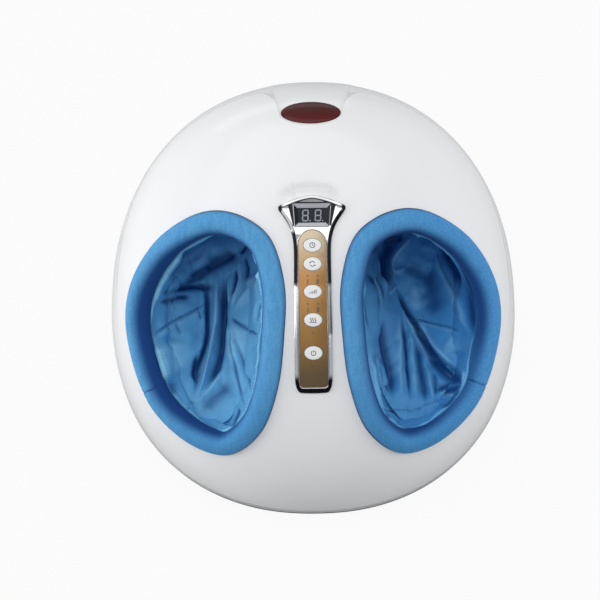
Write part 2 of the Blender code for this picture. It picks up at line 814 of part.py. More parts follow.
def foot_liner(name, side):
    """Bag from the pad's inner edge to a flat sole over the kneading heads, toes deepest."""
    module = module_matrix(side)
    up = module.to_3x3() @ Vector((0, 0, 1))
    power = 2 / LINER_FLOOR_POWER_SHARE
    columns = []
    for point, inward, normal, share in mouth_frames(side):
        angle = math.atan2(share.y, side * share.x)
        cosine, sine = math.cos(angle), math.sin(angle)
        x = LINER_FLOOR_WIDTH / 2 * math.copysign(abs(cosine) ** power, cosine)
        y = LINER_FLOOR_LENGTH / 2 * math.copysign(abs(sine) ** power, sine)
        start = point + inward * LINER_START - normal * PAD_DEPTH
        end = module @ Vector((x, LINER_FLOOR_MIDDLE + y, LINER_FLOOR))
        outward = Vector((cosine, sine, 0))
        first = start - normal * LINER_DROP
        rise = LINER_RISE * lerp(LINER_HEEL_RISE_SHARE, 1, (sine + 1) / 2)
        second = end + up * rise + outward * LINER_BULGE
        column = []
        for row in range(LINER_ROWS + 1):
            t = row / LINER_ROWS
            spot = (start * (1 - t) ** 3 + first * 3 * t * (1 - t) ** 2
                    + second * 3 * t * t * (1 - t) + end * t ** 3)
            wave = math.sin(LINER_FOLDS * angle + LINER_FOLD_TURN_SHARE * FULL_TURN * t)
            spot += outward * wave * LINER_FOLD_DEPTH * math.sin(math.pi * t)
            column.append(spot)
        columns.append(column)
    rows = [list(row) for row in zip(*columns)]
    skin = bmesh.new()
    rings = [[skin.verts.new(p) for p in row] for row in rows]
    for low, high in zip(rings, rings[1:]):
        for i in range(MOUTH_STEPS):
            j = (i + 1) % MOUTH_STEPS
            skin.faces.new((low[i], low[j], high[j], high[i]))
    middle = skin.verts.new(module @ Vector((0, LINER_FLOOR_MIDDLE, LINER_FLOOR)))
    for i in range(MOUTH_STEPS):
        skin.faces.new((rings[-1][i], rings[-1][(i + 1) % MOUTH_STEPS], middle))
    bag = finish(name, skin)
    cloth = bag.modifiers.new("cloth", "SOLIDIFY")
    cloth.thickness = LINER_THICKNESS
    cloth.offset = -1
    cloth.use_even_offset = True
    return shade(bag, BLUE_SATIN, 60)


# Shells

def screw_places():
    places = []
    for share_x, share_y in SCREW_PLACES_SHARES:
        for side in (-1, 1):
            places.append((side * share_x * SHELL_WIDTH / 2, share_y * SHELL_DEPTH / 2))
    return places


def screw_boss(x, y):
    """Boss whose upper end follows the dome, half way into its wall."""
    ring = [(x + u, y + v) for u, v in oval(BOSS_RADIUS, BOSS_RADIUS, POST_STEPS)]
    low = [(u, v, POST_TOP + CLEARANCE) for u, v in ring]
    high = [dome_point(u, v, SHELL_WALL * BOSS_WALL_SHARE) for u, v in ring]
    return loft("boss", [low, high])


def upper_shell():
    shell = combine(dome_solid(), [lining_solid()])
    combine(shell, [screw_boss(x, y) for x, y in screw_places()], "UNION")
    cuts = [mouth_cutter(side) for _, side in SIDES]
    pilot = clear_of(SCREW_SHANK_RADIUS + CLEARANCE, POST_STEPS)
    top = screw_tip() + OVERRUN / 2
    for x, y in screw_places():
        profile = ((pilot, SEAM_HEIGHT), (pilot, top))
        cuts.append(moved(turned("pilot", profile, POST_STEPS, phase=CUT_PHASE_SHARE), (x, y, 0)))
    cuts.append(panel_slot_cutter())
    lens = oval(LENS_WIDTH / 2 + CLEARANCE, LENS_LENGTH / 2 + CLEARANCE, LENS_STEPS)
    cuts.append(lens_placed(prism("lens_hole", lens, -LENS_SKIRT - OVERRUN, OVERRUN)))
    cuts.append(inlet_placed(inlet_prism("inlet_hole", CLEARANCE, -OVERRUN, OVERRUN)))
    combine(shell, cuts)
    return shade(shell, WHITE_GLOSS)


def tray_outline(inset):
    angles = [FULL_TURN * i / LINING_STEPS for i in range(LINING_STEPS)]
    outline = []
    for angle in angles:
        distance = reach(angle, 1.0, inset)
        outline.append((distance * math.cos(angle), GRID_CENTRE_Y + distance * math.sin(angle)))
    return outline


def lower_shell():
    floor_top = TRAY_BOTTOM + TRAY_FLOOR
    lip_inset = SHELL_WALL + CLEARANCE * 2
    inner = lip_inset + TRAY_LIP_WALL
    top = SEAM_HEIGHT - CLEARANCE
    levels = (
        (TRAY_EDGE_INSET, TRAY_BOTTOM), (TRAY_CHAMFER_INSET, TRAY_CHAMFER_HEIGHT),
        (TRAY_INSET, TRAY_SIDE_HEIGHT), (TRAY_INSET, top), (lip_inset, top),
        (lip_inset, TRAY_LIP_HEIGHT), (inner, TRAY_LIP_HEIGHT), (inner, TRAY_SIDE_HEIGHT),
        (TRAY_FLOOR_INSET, floor_top),
    )
    rows = [[(x, y, z) for x, y in tray_outline(inset)] for inset, z in levels]
    shell = loft("lower_shell", rows)
    low = floor_top - SINK * 2
    added = []
    for x, y in screw_places():
        profile = ((POST_RADIUS, low), (POST_RADIUS, POST_TOP))
        added.append(moved(turned("post", profile, POST_STEPS), (x, y, 0)))
    for _, side in SIDES:
        added += bed_posts(side, low)
    for x, y in foot_pad_places():
        cup = FOOT_PAD_RADIUS + CLEARANCE + FOOT_PAD_WALL
        high = FOOT_PAD_HEIGHT + CLEARANCE + FOOT_PAD_WALL
        profile = ((cup, low), (cup, high))
        added.append(moved(turned("cup", profile, FOOT_PAD_STEPS, phase=CUT_PHASE_SHARE * 2), (x, y, 0)))
    added += standoffs(low)
    combine(shell, added, "UNION")
    cuts = []
    for x, y in foot_pad_places():
        cup = clear_of(FOOT_PAD_RADIUS + CLEARANCE, FOOT_PAD_STEPS)
        high = FOOT_PAD_HEIGHT + CLEARANCE
        profile = ((cup, 0), (cup, high))
        cuts.append(moved(turned("recess", profile, FOOT_PAD_STEPS, phase=CUT_PHASE_SHARE), (x, y, 0)))
    for x, y in screw_places():
        wide = clear_of(SCREW_HEAD_RADIUS + CLEARANCE, SCREW_STEPS)
        narrow = clear_of(SCREW_SHANK_RADIUS + CLEARANCE, SCREW_STEPS)
        step = POST_TOP - SCREW_SEAT
        bore = ((wide, 0), (wide, step), (narrow, step), (narrow, POST_TOP + OVERRUN))
        cuts.append(moved(turned("bore", bore, SCREW_STEPS, phase=CUT_PHASE_SHARE), (x, y, 0)))
    for i in range(VENT_COUNT):
        slot = prism("vent", capsule(VENT_WIDTH / 2, VENT_LENGTH / 2, VENT_END_STEPS), 0, floor_top + OVERRUN / 2)
        along = (i - (VENT_COUNT - 1) / 2) * VENT_PITCH
        cuts.append(moved(slot, (0, SHELL_DEPTH / 2 - VENT_REAR_MARGIN + along, 0), turn_about("Z", math.pi / 2)))
    combine(shell, cuts)
    return shade(shell, DARK_PLASTIC)


def foot_pad_places():
    x = SHELL_WIDTH / 2 - FOOT_PAD_SIDE_MARGIN
    y = SHELL_DEPTH / 2 - FOOT_PAD_END_MARGIN
    return [(sx * x, sy * y) for sy in (-1, 1) for sx in (-1, 1)]


def rubber_feet():
    for i, (x, y) in enumerate(foot_pad_places()):
        profile = (
            (FOOT_PAD_RADIUS - FOOT_PAD_ROUND, 0), (FOOT_PAD_RADIUS, FOOT_PAD_ROUND),
            (FOOT_PAD_RADIUS, FOOT_PAD_HEIGHT),
        )
        pad = turned(f"rubber_foot_{i + 1}", profile, FOOT_PAD_STEPS)
        place(shade(pad, BLACK_RUBBER), (x, y, 0))


def screw_tip():
    return POST_TOP - SCREW_SEAT - CLEARANCE + SCREW_LENGTH


def base_screws():
    seat = POST_TOP - SCREW_SEAT - CLEARANCE
    for i, (x, y) in enumerate(screw_places()):
        low = -SCREW_HEAD_HEIGHT
        profile = (
            (SCREW_HEAD_RADIUS, low), (SCREW_HEAD_RADIUS, 0),
            (SCREW_SHANK_RADIUS, 0), (SCREW_SHANK_RADIUS, SCREW_LENGTH - SCREW_SHANK_RADIUS),
            (SCREW_SHANK_RADIUS / 4, SCREW_LENGTH),
        )
        screw = turned(f"base_screw_{i + 1}", profile, SCREW_STEPS)
        place(shade(screw, STEEL), (x, y, seat))


# Foot modules, built in the frame of the left one with +X towards the middle

def for_side(obj, side):
    return mirrored(obj) if side > 0 else obj


def bed_outline(inset):
    middle = (BED_TOE_Y + BED_HEEL_Y) / 2
    half = (BED_TOE_Y - BED_HEEL_Y) / 2 - inset
    points = []
    for i in range(BED_STEPS):
        angle = FULL_TURN * i / BED_STEPS
        cosine, sine = math.cos(angle), math.sin(angle)
        width = BED_WIDTH / 2 * lerp(BED_HEEL_SHARE, 1.0, smooth_step((sine + 1) / 2)) - inset
        x = width * math.copysign(abs(cosine) ** BED_ROUND_SHARE, cosine)
        y = middle + half * math.copysign(abs(sine) ** BED_ROUND_SHARE, sine)
        points.append((x, y))
    return points


def footbed(name, side, parent):
    levels = (
        (BED_FILLET, -BED_THICKNESS), (0, BED_FILLET - BED_THICKNESS),
        (-BED_RIM_LEAN, BED_RIM_HEIGHT), (BED_RIM_WALL - BED_RIM_LEAN, BED_RIM_HEIGHT),
        (BED_RIM_WALL, BED_FILLET - BED_THICKNESS + BED_RIM_WALL), (BED_FILLET + BED_RIM_WALL, 0),
    )
    bed = loft(name, [[(x, y, z) for x, y in bed_outline(inset)] for inset, z in levels])
    hole = SPINDLE_RADIUS + BED_FILLET
    cuts = []
    for y in (-head_offset(), head_offset()):
        bore = turned("bore", ((hole, -OVERRUN), (hole, OVERRUN)), SPINDLE_STEPS)
        cuts.append(moved(bore, (0, y, 0)))
    combine(bed, cuts)
    return place(shade(for_side(bed, side), GREY_PLASTIC), parent=parent)


def bed_post_places():
    return [(sx * BED_POST_X, y) for y in (BED_POST_HEEL_Y, BED_POST_TOE_Y) for sx in (-1, 1)]


def bed_posts(side, low):
    """Posts of the lower shell that carry a footbed, square to it."""
    module = module_matrix(side)
    posts = []
    for x, y in bed_post_places():
        top = -BED_THICKNESS - CLEARANCE
        foot = module @ Vector((x, y, top))
        length = foot.z - low
        profile = ((BED_POST_RADIUS, -length), (BED_POST_RADIUS, 0))
        post = turned("bed_post", profile, BED_POST_STEPS)
        posts.append(moved(post, foot, turn_about("X", math.radians(FOOT_TILT_DEG))))
    return posts


def gear_tip_radius():
    return GEAR_MODULE * (GEAR_TEETH / 2 + GEAR_ADDENDUM_SHARE)


def head_offset():
    """Distance from the worm's axis to a kneading head's."""
    return GEAR_MODULE * GEAR_TEETH / 2 + WORM_PITCH_RADIUS


def worm_lead():
    return math.pi * GEAR_MODULE


def tooth_half_widths():
    """Half width of a tooth at the pitch line, at its tip and at its root, on both gears."""
    pitch = worm_lead() * GEAR_TOOTH_SHARE / 2
    slope = math.tan(math.radians(GEAR_FLANK_DEG))
    tip = pitch - GEAR_MODULE * GEAR_ADDENDUM_SHARE * slope
    root = pitch + GEAR_MODULE * GEAR_DEDENDUM_SHARE * slope
    return pitch, tip, root


def worm_wheel(name, y, phase, parent):
    """Helical wheel whose teeth have the worm's own rack profile."""
    pitch_radius = GEAR_MODULE * GEAR_TEETH / 2
    tip_radius = gear_tip_radius()
    root_radius = pitch_radius - GEAR_MODULE * GEAR_DEDENDUM_SHARE
    _, tip, root = tooth_half_widths()
    outline = []
    for tooth in range(GEAR_TEETH):
        centre = FULL_TURN * (tooth + phase) / GEAR_TEETH - math.pi / 2
        for radius, half, way in (
            (root_radius, root, -1), (tip_radius, tip, -1), (tip_radius, tip, 1), (root_radius, root, 1),
        ):
            outline.append((radius, centre + way * half / radius))
    lead_slope = worm_lead() / (FULL_TURN * WORM_PITCH_RADIUS)
    rows = []
    for height in (-GEAR_FACE / 2, GEAR_FACE / 2):
        twist = lead_slope * height / pitch_radius
        rows.append([(r * math.cos(a + twist), r * math.sin(a + twist), height) for r, a in outline])
    wheel = loft(name, rows)
    hub = turned("hub", ((GEAR_HUB_RADIUS, -HUB_REACH), (GEAR_HUB_RADIUS, HUB_REACH)), SPINDLE_STEPS)
    combine(wheel, [hub], "UNION")
    bore_radius = SPINDLE_RADIUS + SPINDLE_PLAY
    reach_out = HUB_REACH + OVERRUN
    combine(wheel, [turned("bore", ((bore_radius, -reach_out), (bore_radius, reach_out)), SPINDLE_STEPS)])
    return place(shade(wheel, CREAM_NYLON, 25), (0, y, -WORM_AXIS_DROP), parent=parent)


def worm_shaft(name, side, parent):
    """One-start worm on its shaft: a helical thread swept round X and joined to the core."""
    _, tip, root = tooth_half_widths()
    tip_radius = WORM_PITCH_RADIUS + GEAR_MODULE * GEAR_ADDENDUM_SHARE
    core_radius = WORM_PITCH_RADIUS - GEAR_MODULE * GEAR_DEDENDUM_SHARE
    inner = core_radius - SINK * 2
    turns = (WORM_LENGTH - 2 * root) / worm_lead()
    count = int(turns * WORM_STEPS)
    rows = []
    for i in range(count + 1):
        turn = (i / count - 0.5) * turns
        angle = FULL_TURN * turn
        along = worm_lead() * turn
        ramp = smooth_step((turns / 2 - abs(turn)) / WORM_END_TURNS_SHARE)
        high = lerp(core_radius + SINK, tip_radius, ramp)
        row = []
        for offset, radius in ((-root, inner), (-tip, high), (tip, high), (root, inner)):
            row.append((along + offset, radius * math.cos(angle), radius * math.sin(angle)))
        rows.append(row)
    thread = loft(name, rows)
    half = WORM_LENGTH / 2
    profile = (
        (WORM_SHAFT_RADIUS, -WORM_SHAFT_FREE_END), (WORM_SHAFT_RADIUS, -half),
        (core_radius, -half), (core_radius, half),
        (WORM_SHAFT_RADIUS, half), (WORM_SHAFT_RADIUS, WORM_SHAFT_MOTOR_END),
    )
    core = moved(turned("core", profile, WORM_CORE_STEPS), turn=turn_about("Y", math.pi / 2))
    combine(thread, [core], "UNION")
    return place(shade(for_side(thread, side), STEEL), (0, 0, -WORM_AXIS_DROP), parent=parent)


def kneading_head(name, y, phase, parent):
    """Disc with three domed nodes, moulded on its steel spindle."""
    top = HEAD_LIFT + HEAD_THICKNESS
    profile = (
        (SPINDLE_RADIUS, spindle_foot()), (SPINDLE_RADIUS, HEAD_LIFT),
        (HEAD_RADIUS, HEAD_LIFT), (HEAD_RADIUS, top - HEAD_ROUND), (HEAD_RADIUS - HEAD_ROUND, top),
    )
    head = turned(name, profile, HEAD_STEPS)
    dome = NODE_TOP - top
    nodes = []
    for i in range(NODE_COUNT):
        angle = FULL_TURN * (i / NODE_COUNT + phase)
        levels = [(NODE_RADIUS, -HEAD_ROUND)]
        for share in NODE_RING_SHARES:
            levels.append((NODE_RADIUS * math.sqrt(1 - share ** NODE_POWER_SHARE), dome * share))
        levels.append((NODE_RADIUS * NODE_TIP_SHARE, dome))
        levels = [(radius, top + height) for radius, height in levels]
        spot = (NODE_ORBIT * math.cos(angle), NODE_ORBIT * math.sin(angle), 0)
        nodes.append(moved(turned("node", levels, NODE_STEPS), spot))
    combine(head, nodes, "UNION")
    return place(shade(head, DARK_PLASTIC, 40), (0, y, 0), parent=parent)


def box_top():
    return -BED_THICKNESS - CLEARANCE


def tray_top():
    return box_top() - BOX_COVER - CLEARANCE


def hub_low():
    return -WORM_AXIS_DROP - HUB_REACH


def spindle_foot():
    return hub_low() - SPINDLE_SEAT


def box_half_length():
    return head_offset() + BOX_HALF_WIDTH


def gearbox_cover(name, side, parent):
    outline = capsule(BOX_HALF_WIDTH, box_half_length(), BOX_END_STEPS)
    cover = prism(name, outline, box_top() - BOX_COVER, box_top())
    bore = SPINDLE_RADIUS + SPINDLE_PLAY
    cuts = []
    for y in (-head_offset(), head_offset()):
        hole = turned("bore", ((bore, tray_top()), (bore, OVERRUN)), SPINDLE_STEPS)
        cuts.append(moved(hole, (0, y, 0)))
    combine(cover, cuts)
    return place(shade(for_side(cover, side), GREY_PLASTIC), parent=parent)


def gearbox_tray(name, side, parent):
    """Open tray round the wheels, with a boss under each spindle and bearing holes for the worm."""
    half_length = box_half_length()
    floor = hub_low() - CLEARANCE - SPINDLE_SEAT - CLEARANCE
    bottom = floor - BOX_FLOOR
    outline = capsule(BOX_HALF_WIDTH, half_length, BOX_END_STEPS)
    tray = prism(name, outline, bottom, tray_top())
    hollow = capsule(BOX_HALF_WIDTH - BOX_WALL, half_length - BOX_WALL, BOX_END_STEPS)
    combine(tray, [prism("hollow", hollow, floor, OVERRUN)])
    bore = SPINDLE_RADIUS + SPINDLE_PLAY
    bosses, cuts = [], []
    for y in (-head_offset(), head_offset()):
        high = hub_low() - CLEARANCE
        boss = turned("boss", ((BOX_BOSS_RADIUS, floor - SINK), (BOX_BOSS_RADIUS, high)), SPINDLE_STEPS)
        bosses.append(moved(boss, (0, y, 0)))
        hole = turned("bore", ((bore, floor), (bore, OVERRUN)), SPINDLE_STEPS)
        cuts.append(moved(hole, (0, y, 0)))
    combine(tray, bosses, "UNION")
    journal = WORM_SHAFT_RADIUS + CLEARANCE
    across = BOX_HALF_WIDTH + OVERRUN
    bearing = turned("bearing", ((journal, -across), (journal, across)), SPINDLE_STEPS)
    bearing = moved(bearing, turn=turn_about("Y", math.pi / 2))
    cuts.append(moved(bearing, (0, 0, -WORM_AXIS_DROP)))
    combine(tray, cuts)
    return place(shade(for_side(tray, side), GREY_PLASTIC), parent=parent)


def kneading_motor(name, side, parent):
    face = BOX_HALF_WIDTH + CLEARANCE
    profile = (
        (MOTOR_RADIUS - MOTOR_ROUND, face), (MOTOR_RADIUS, face + MOTOR_ROUND),
        (MOTOR_RADIUS, face + MOTOR_LENGTH - MOTOR_ROUND),
        (MOTOR_RADIUS - MOTOR_ROUND, face + MOTOR_LENGTH),
        (MOTOR_TAIL_RADIUS, face + MOTOR_LENGTH),
        (MOTOR_TAIL_RADIUS, face + MOTOR_LENGTH + MOTOR_TAIL_LENGTH),
    )
    motor = turned(name, profile, MOTOR_STEPS)
    bore = WORM_SHAFT_RADIUS + CLEARANCE
    combine(motor, [turned("bore", ((bore, face - OVERRUN), (bore, face + MOTOR_BORE_DEPTH)), SPINDLE_STEPS)])
    tags = []
    end = face + MOTOR_LENGTH
    for way in (-1, 1):
        tag = block("tag", MOTOR_TAG_THICKNESS, MOTOR_TAG_WIDTH, end - SINK * 2, end + MOTOR_TAG_LENGTH)
        tags.append(moved(tag, (way * MOTOR_TAG_OFFSET, 0, 0)))
    combine(motor, tags, "UNION")
    moved(motor, turn=turn_about("Y", math.pi / 2))
    return place(shade(for_side(motor, side), STEEL), (0, 0, -WORM_AXIS_DROP), parent=parent)


def heat_pad(name, side, parent):
    outline = [(x, y + HEAT_Y) for x, y in rounded_box(HEAT_WIDTH / 2, HEAT_LENGTH / 2, HEAT_CORNER)]
    pad = prism(name, outline, CLEARANCE, CLEARANCE + HEAT_THICKNESS)
    return place(shade(for_side(pad, side), HEAT_FILM), parent=parent)


def foot_modules():
    for label, side in SIDES:
        module = bpy.data.objects.new(f"{label}_module", None)
        bpy.context.scene.collection.objects.link(module)
        place(module, (side * FOOT_X, FOOT_Y, FOOT_Z), math.radians(FOOT_TILT_DEG))
        footbed(f"{label}_footbed", side, module)
        heat_pad(f"{label}_heat_pad", side, module)
        gearbox_cover(f"{label}_gearbox_cover", side, module)
        gearbox_tray(f"{label}_gearbox_tray", side, module)
        kneading_motor(f"{label}_kneading_motor", side, module)
        worm_shaft(f"{label}_worm_shaft", side, module)
        half = head_offset()
        for end, y, phase in (("front", -half, 0.0), ("rear", half, 0.5)):
            wheel = worm_wheel(f"{label}_{end}_worm_wheel", y, phase, module)
            head = kneading_head(f"{label}_{end}_kneading_head", y, phase / NODE_COUNT, module)
            for obj in (wheel, head):
                for_side(obj, side)


# Control strip

def ladder(shares, bottom_y, top_y, half_width):
    """Right edge of an outline from (length share, width share) pairs, bottom to top."""
    return [(width * half_width, lerp(bottom_y, top_y, along)) for along, width in shares]


def both_edges(edge):
    return edge + [(-x, y) for x, y in reversed(edge)]


def inset_loop(loop, distance):
    """Anticlockwise outline moved inwards by a distance."""
    moved_points = []
    count = len(loop)
    for i in range(count):
        before, here, after = (Vector(loop[(i + k) % count]) for k in (-1, 0, 1))
        first = (here - before).normalized()
        second = (after - here).normalized()
        normal = Vector((-first.y - second.y, first.x + second.x)).normalized()
        lean = max(MITRE_SHARE, normal.dot(Vector((-first.y, first.x))))
        spot = here + normal * distance / lean
        moved_points.append((spot.x, spot.y))
    return moved_points


def strip(name, levels):
    """Solid between outlines that lie on the strip's curve: (loop, height above the dome's spine)."""
    shape = bmesh.new()
    rings = []
    for loop, height, follow in levels:
        ring = []
        for x, y in loop:
            base = dome_height(x if follow else 0, y)
            ring.append(shape.verts.new((x, y, base + height)))
        rings.append(ring)
    count = len(rings[0])
    for low, high in zip(rings, rings[1:]):
        for i in range(count):
            j = (i + 1) % count
            shape.faces.new((low[i], low[j], high[j], high[i]))
    for ring in (rings[0], rings[-1]):
        for i in range(count // 2 - 1):
            shape.faces.new((ring[i], ring[i + 1], ring[count - 2 - i], ring[count - 1 - i]))
    return finish(name, shape)


def panel_loop(inset=0.0):
    edge = ladder(PANEL_SHARES, PANEL_BOTTOM_Y, PANEL_TOP_Y, PANEL_HEAD_WIDTH / 2)
    return inset_loop(both_edges(edge), inset) if inset else both_edges(edge)


def panel_slot_cutter():
    loop = panel_loop(BEZEL_FLANGE - CLEARANCE)
    return strip("panel_slot", ((loop, -OVERRUN * 2, False), (loop, OVERRUN, False)))


def spine_angle(y):
    """Slope of the strip at y, as a turn about X."""
    normal = dome_normal(0, y)
    return -math.atan2(normal.y, normal.z)


def button_places():
    y = PLATE_TOP_Y
    places = []
    for pitch in BUTTON_PITCHES:
        y -= pitch
        places.append(y)
    return places


def plate_top():
    return BEZEL_FLOOR + CLEARANCE + PLATE_THICKNESS


def on_strip(y, height):
    return Vector((0, y, dome_height(0, y) + height))


def button_hole(y):
    outline = oval(BUTTON_WIDTH / 2 + BUTTON_GAP, BUTTON_LENGTH / 2 + BUTTON_GAP, BUTTON_STEPS)
    cutter = prism("button_hole", outline, -BEZEL_CORE - OVERRUN, OVERRUN)
    return moved(cutter, on_strip(y, plate_top()), turn_about("X", spine_angle(y)))


def board_line():
    """The control board's lower and upper end on its top face, and its slope."""
    low = on_strip(BOARD_BOTTOM_Y, -BOARD_DEPTH_BOTTOM)
    high = on_strip(BOARD_TOP_Y, -BOARD_DEPTH_TOP)
    return low, high, math.atan2(high.z - low.z, high.y - low.y)


def board_height(y):
    low, _, slope = board_line()
    return low.z + (y - low.y) * math.tan(slope)


def post_places():
    return [lerp(PANEL_BOTTOM_Y, PANEL_TOP_Y, share) for share in BEZEL_POST_YS_SHARES]


def panel_bezel():
    levels = (
        (panel_loop(BEZEL_RIM), BEZEL_FLOOR, False),
        (panel_loop(BEZEL_RIM), BEZEL_RISE, False),
        (panel_loop(BEZEL_BEVEL), BEZEL_RISE, False),
        (panel_loop(), BEZEL_RISE - BEZEL_EDGE, False),
        (panel_loop(), BEZEL_SEAT, True),
        (panel_loop(BEZEL_FLANGE), BEZEL_SEAT, True),
        (panel_loop(BEZEL_FLANGE), -BEZEL_CORE, False),
    )
    bezel = strip("panel_bezel", levels)
    posts = []
    for y in post_places():
        _, depth = drop_to_board(y, 0)
        profile = ((BEZEL_POST_RADIUS, CLEARANCE * 2 - depth), (BEZEL_POST_RADIUS, -BEZEL_CORE / 2))
        post = turned("post", profile, POST_STEPS)
        posts.append(moved(post, on_strip(y, 0), turn_about("X", spine_angle(y))))
    combine(bezel, posts, "UNION")
    cuts = [button_hole(y) for y in button_places()]
    slope = board_line()[2]
    opening = block("display_hole", DISPLAY_WIDTH + CLEARANCE * 4, DISPLAY_LENGTH + CLEARANCE * 4,
                    -BEZEL_CORE - OVERRUN, OVERRUN)
    cuts.append(moved(opening, on_strip(DISPLAY_Y, 0), turn_about("X", slope)))
    combine(bezel, cuts)
    return shade(bezel, CHROME, 35)


def plate_edge():
    """Right edge of the gold plate: small corners below, a half circle above."""
    half = PLATE_WIDTH / 2
    edge = []
    for i in range(PLATE_END_STEPS - 1):
        angle = math.pi / 2 * (i / (PLATE_END_STEPS - 2) - 1)
        edge.append((half - PLATE_CORNER + PLATE_CORNER * math.cos(angle),
                     PLATE_BOTTOM_Y + PLATE_CORNER + PLATE_CORNER * math.sin(angle)))
    start = PLATE_BOTTOM_Y + PLATE_CORNER
    centre = PLATE_TOP_Y - half
    for i in range(1, PLATE_STATIONS):
        edge.append((half, lerp(start, centre, i / PLATE_STATIONS)))
    for i in range(PLATE_END_STEPS + 1):
        angle = math.pi / 2 * i / (PLATE_END_STEPS + PLATE_TOP_GAP_SHARE)
        edge.append((half * math.cos(angle), centre + half * math.sin(angle)))
    return edge


def panel_plate():
    loop = both_edges(plate_edge())
    low = BEZEL_FLOOR + CLEARANCE
    levels = (
        (loop, low, False), (loop, plate_top() - PLATE_BEVEL, False),
        (inset_loop(loop, PLATE_BEVEL), plate_top(), False),
    )
    plate = strip("panel_plate", levels)
    combine(plate, [button_hole(y) for y in button_places()])
    return shade(plate, GOLD, 35)


def display_window():
    low_half, high_half = WINDOW_BOTTOM_WIDTH / 2, WINDOW_TOP_WIDTH / 2
    corner = WINDOW_CORNER
    edge = [
        (low_half - corner, WINDOW_BOTTOM_Y), (low_half, WINDOW_BOTTOM_Y + corner),
        (lerp(low_half, high_half, 0.5), (WINDOW_BOTTOM_Y + WINDOW_TOP_Y) / 2),
        (high_half, WINDOW_TOP_Y - corner), (high_half - corner, WINDOW_TOP_Y),
    ]
    loop = both_edges(edge)
    low = BEZEL_FLOOR + CLEARANCE
    window = strip("display_window", ((loop, low, False), (loop, low + WINDOW_THICKNESS, False)))
    return shade(window, SMOKED_CLEAR, 35)


def display_module():
    slope = board_line()[2]
    height = board_height(DISPLAY_Y)
    module = block("display_module", DISPLAY_WIDTH, DISPLAY_LENGTH, CLEARANCE, DISPLAY_HEIGHT + CLEARANCE)
    return place(shade(module, BLACK_PLASTIC), (0, DISPLAY_Y, height), slope)


def drop_to_board(y, height):
    """Where the strip's normal at y meets the board's top, and how far down that is."""
    low, _, slope = board_line()
    normal = Vector((0, -math.sin(slope), math.cos(slope)))
    top = on_strip(y, height)
    angle = spine_angle(y)
    axis = Vector((0, -math.sin(angle), math.cos(angle)))
    depth = (top - low).dot(normal) / axis.dot(normal)
    return top - axis * depth, depth


def switch_spots():
    return [drop_to_board(y, plate_top()) for y in button_places()]


def control_board():
    low, high, slope = board_line()
    turn = turn_about("X", slope)
    middle = (low + high) / 2
    length = (high - low).length
    board = moved(block("control_board", BOARD_WIDTH, length, -BOARD_THICKNESS, 0), middle, turn)
    for spot, _ in switch_spots():
        switch = block("switch", SWITCH_WIDTH, SWITCH_WIDTH, -SINK, SWITCH_HEIGHT)
        profile = ((PLUNGER_RADIUS, SWITCH_HEIGHT - SINK), (PLUNGER_RADIUS, SWITCH_HEIGHT + PLUNGER_HEIGHT))
        combine(switch, [turned("plunger", profile, PLUNGER_STEPS)], "UNION")
        combine(board, [moved(switch, spot, turn)], "UNION")
    return shade(board, GREEN_BOARD)


def panel_buttons():
    for name, y, (_, depth) in zip(BUTTON_NAMES, button_places(), switch_spots()):
        angle = spine_angle(y)
        stem_end = -(depth - SWITCH_HEIGHT - PLUNGER_HEIGHT - BUTTON_TRAVEL - CLEARANCE * 2)
        under = -(BEZEL_CORE + plate_top()) * math.cos(angle) - CLEARANCE * 2
        low = under - BUTTON_FLANGE_THICKNESS
        half_width, half_length = BUTTON_WIDTH / 2, BUTTON_LENGTH / 2
        stem, flange = BUTTON_STEM_RADIUS, BUTTON_FLANGE
        levels = (
            (stem, stem, stem_end), (stem, stem, low),
            (half_width + flange, half_length + flange, low),
            (half_width + flange, half_length + flange, under),
            (half_width, half_length, under), (half_width, half_length, BUTTON_RISE - BUTTON_CROWN),
            (half_width * BUTTON_CROWN_SHARE, half_length * BUTTON_CROWN_SHARE, BUTTON_RISE),
        )
        rows = [[(x, y, z) for x, y in oval(a, b, BUTTON_STEPS)] for a, b, z in levels]
        place(shade(loft(name, rows), WHITE_BUTTON, 40), on_strip(y, plate_top()), angle)


# Lens on the tongue

def lens_placed(obj):
    angle = spine_angle(LENS_Y)
    return moved(obj, on_strip(LENS_Y, -CREASE_STEP), turn_about("X", angle))


def lens_fall(across, along):
    """How far the dome has fallen from the lens's plane at a point of it."""
    angle = spine_angle(LENS_Y)
    up = Vector((0, -math.sin(angle), math.cos(angle)))
    spot = dome_point(across, LENS_Y + along * math.cos(angle))
    return (spot - dome_point(0, LENS_Y)).dot(up)


def indicator_lens():
    """Oval cup: a crowned face that follows the dome, with a skirt below it."""
    levels = (
        (LENS_WALL, LENS_RISE - LENS_WALL, True), (LENS_WALL, -LENS_SKIRT, False),
        (0, -LENS_SKIRT, False), (0, LENS_RISE, True),
        (LENS_EDGE, LENS_RISE + LENS_CROWN * LENS_EDGE_RISE_SHARE, True),
        (LENS_EDGE * LENS_FACE_SHARE, LENS_RISE + LENS_CROWN, True),
    )
    rows = []
    for inset, height, follow in levels:
        row = []
        for x, y in oval(LENS_WIDTH / 2 - inset, LENS_LENGTH / 2 - inset, LENS_STEPS):
            row.append((x, y, height + (lens_fall(x, y) if follow else 0)))
        rows.append(row)
    tips = ((0, 0, LENS_RISE - LENS_WALL), (0, 0, LENS_RISE + LENS_CROWN))
    return shade(lens_placed(loft("indicator_lens", rows, tips=tips)), RED_LENS, 40)


